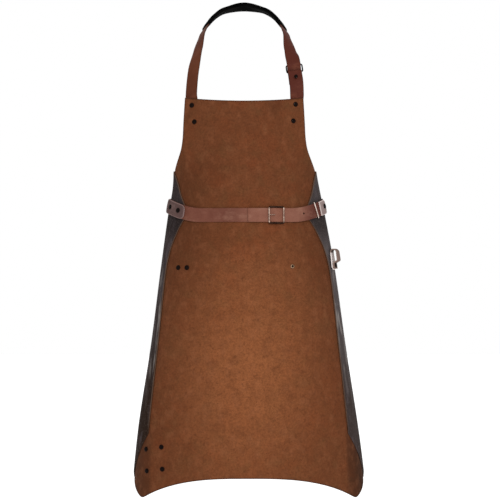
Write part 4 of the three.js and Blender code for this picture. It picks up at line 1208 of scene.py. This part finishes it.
def belt_keeper():
    round_strap = 2 * KEEPER_GAP + 2 * KEEPER_BAR
    piece = wire_frame("belt_keeper_loop", STRAP_THICK + round_strap, STRAP_WIDTH + round_strap,
                       KEEPER_BAR, KEEPER_BAR, KEEPER_CORNER)
    on_edge = Matrix.Rotation(math.pi / 2, 4, "Y")
    piece.data.transform(seat(belt_carrier, KEEPER_PLACE, KEEPER_LIFT) @ on_edge)
    finish_piece(piece, "belt_keeper", "bright_metal", BRIGHT_METAL)


def rivet(node, matrix, top, under):
    """Rivet with a domed cap at height top and a flat back cap at height under."""
    wall = top + CAP_WALL * CAP_HEIGHT
    dome = [(CAP_RADIUS * math.sin(a), wall + (1 - CAP_WALL) * CAP_HEIGHT * math.cos(a))
            for a in np.linspace(math.pi / 2, 0, CAP_STEPS)]
    back = under - BACK_HEIGHT
    profile = [(0, back), (BACK_RADIUS - BACK_BEVEL, back), (BACK_RADIUS, back + BACK_BEVEL),
               (BACK_RADIUS, under), (SHANK_RADIUS, under), (SHANK_RADIUS, top),
               (CAP_RADIUS - CAP_BEVEL_IN, top), (CAP_RADIUS, top + CAP_BEVEL_UP), *dome]
    piece = turned("cap_" + node, profile)
    piece.data.transform(matrix)
    finish_piece(piece, node, "dark_metal", DARK_METAL)


def rivets():
    for node, (along, z) in BIB_RIVETS.items():
        rivet(node, form_seat(along, z), CAP_FIT, BEHIND_STRAP)
    for node, (along, z) in FRONT_RIVETS.items():
        rivet(node, form_seat(along, z), CAP_FIT, BEHIND_FRONT)
    for node, (along, lift) in BELT_RIVETS.items():
        rivet(node, seat(belt_carrier, along), lift + ON_STRAP, BEHIND_FRONT)
    rivet("rivet_side_loop", seat(loop_carrier, LOOP_RIVET), LOOP_LIE + ON_STRAP, BEHIND_FRONT)
    on_fold = seat(neck_carrier, LOWER_BAR + NECK_FOLD_RIVET)
    rivet("rivet_neck_fold", on_fold, STRAP_THICK / 2 + CAP_FIT, BEHIND_FOLD)


def hip_stud():
    """A ring round a sunk middle; the middle takes the dark second material as painted shade in the hollow.
    """
    half_lip = (STUD_OUTER - STUD_INNER) / 2
    rise = STUD_HEIGHT - STUD_MIDDLE
    middle = CAP_FIT + STUD_MIDDLE
    lip = [(STUD_OUTER - half_lip * (1 - math.cos(a)), middle + rise * math.sin(a))
           for a in np.linspace(0, math.pi, STUD_LIP_STEPS)]
    back = BEHIND_FRONT - BACK_HEIGHT
    profile = [(0, back), (BACK_RADIUS, back), (BACK_RADIUS, BEHIND_FRONT), (SHANK_RADIUS, BEHIND_FRONT),
               (SHANK_RADIUS, CAP_FIT), (STUD_OUTER, CAP_FIT), *lip, (0, middle)]
    piece = turned("hip_stud_ring", profile)
    reach = STUD_INNER * STUD_DARK_REACH * MM
    for polygon in piece.data.polygons:
        centre = polygon.center
        if centre.z > 0 and math.hypot(centre.x, centre.y) < reach:
            polygon.material_index = 1
    piece.data.transform(form_seat(*STUD_PLACE))
    finish_piece(piece, "stud_hip", "bright_metal", STUD_METAL, DARK_METAL)


# Camera, light and floor

def studio():
    camera = bpy.data.objects.new("camera", bpy.data.cameras.new("camera"))
    camera.data.sensor_width = SENSOR
    camera.data.lens = SENSOR * CAMERA_DISTANCE / (IMAGE_SIZE * MM_PER_PIXEL)
    camera.location = Vector(CAMERA_PLACE) * MM
    camera.rotation_euler = (math.pi / 2, 0, 0)
    scene = bpy.context.scene
    scene.collection.objects.link(camera)
    scene.camera = camera
    scene.view_settings.view_transform = "Standard"

    world = bpy.data.worlds.new("studio")
    world.use_nodes = True
    background = world.node_tree.nodes["Background"]
    background.inputs["Color"].default_value = WHITE
    background.inputs["Strength"].default_value = 1.0
    scene.world = world

    light = bpy.data.objects.new("key", bpy.data.lights.new("key", "AREA"))
    light.data.shape = "RECTANGLE"
    light.data.size = LIGHT_SIZE
    light.data.size_y = LIGHT_SIZE
    light.data.energy = LIGHT_POWER
    light.location = LIGHT_PLACE
    direction = Vector(LIGHT_TARGET) - Vector(LIGHT_PLACE)
    light.rotation_euler = direction.to_track_quat("-Z", "Y").to_euler()
    scene.collection.objects.link(light)

    corners = [(x * FLOOR_REACH, y * FLOOR_REACH, FLOOR_LEVEL)
               for x, y in ((-1, -1), (1, -1), (1, 1), (-1, 1))]
    floor = add_mesh("floor", corners, [[0, 1, 2, 3]], smooth=False)
    pale = Finish("pale_floor")
    pale.link("#fafafa", "Base Color")
    pale.link(0.9, "Roughness")
    pale.link(WHITE, "Emission Color")
    pale.link(FLOOR_GLOW, "Emission Strength")
    floor.data.materials.append(pale.material)


studio()
front_panel()
side_panel(-1, "dark_side_left", "side_panel_left")
side_panel(1, "dark_side_right", "side_panel_right")
neck_strap_long()
neck_strap_short()
neck_pad()
neck_buckle()
belt_strap()
belt_buckle()
belt_prong()
belt_keeper()
belt_tabs()
side_loop()
rivets()
hip_stud()
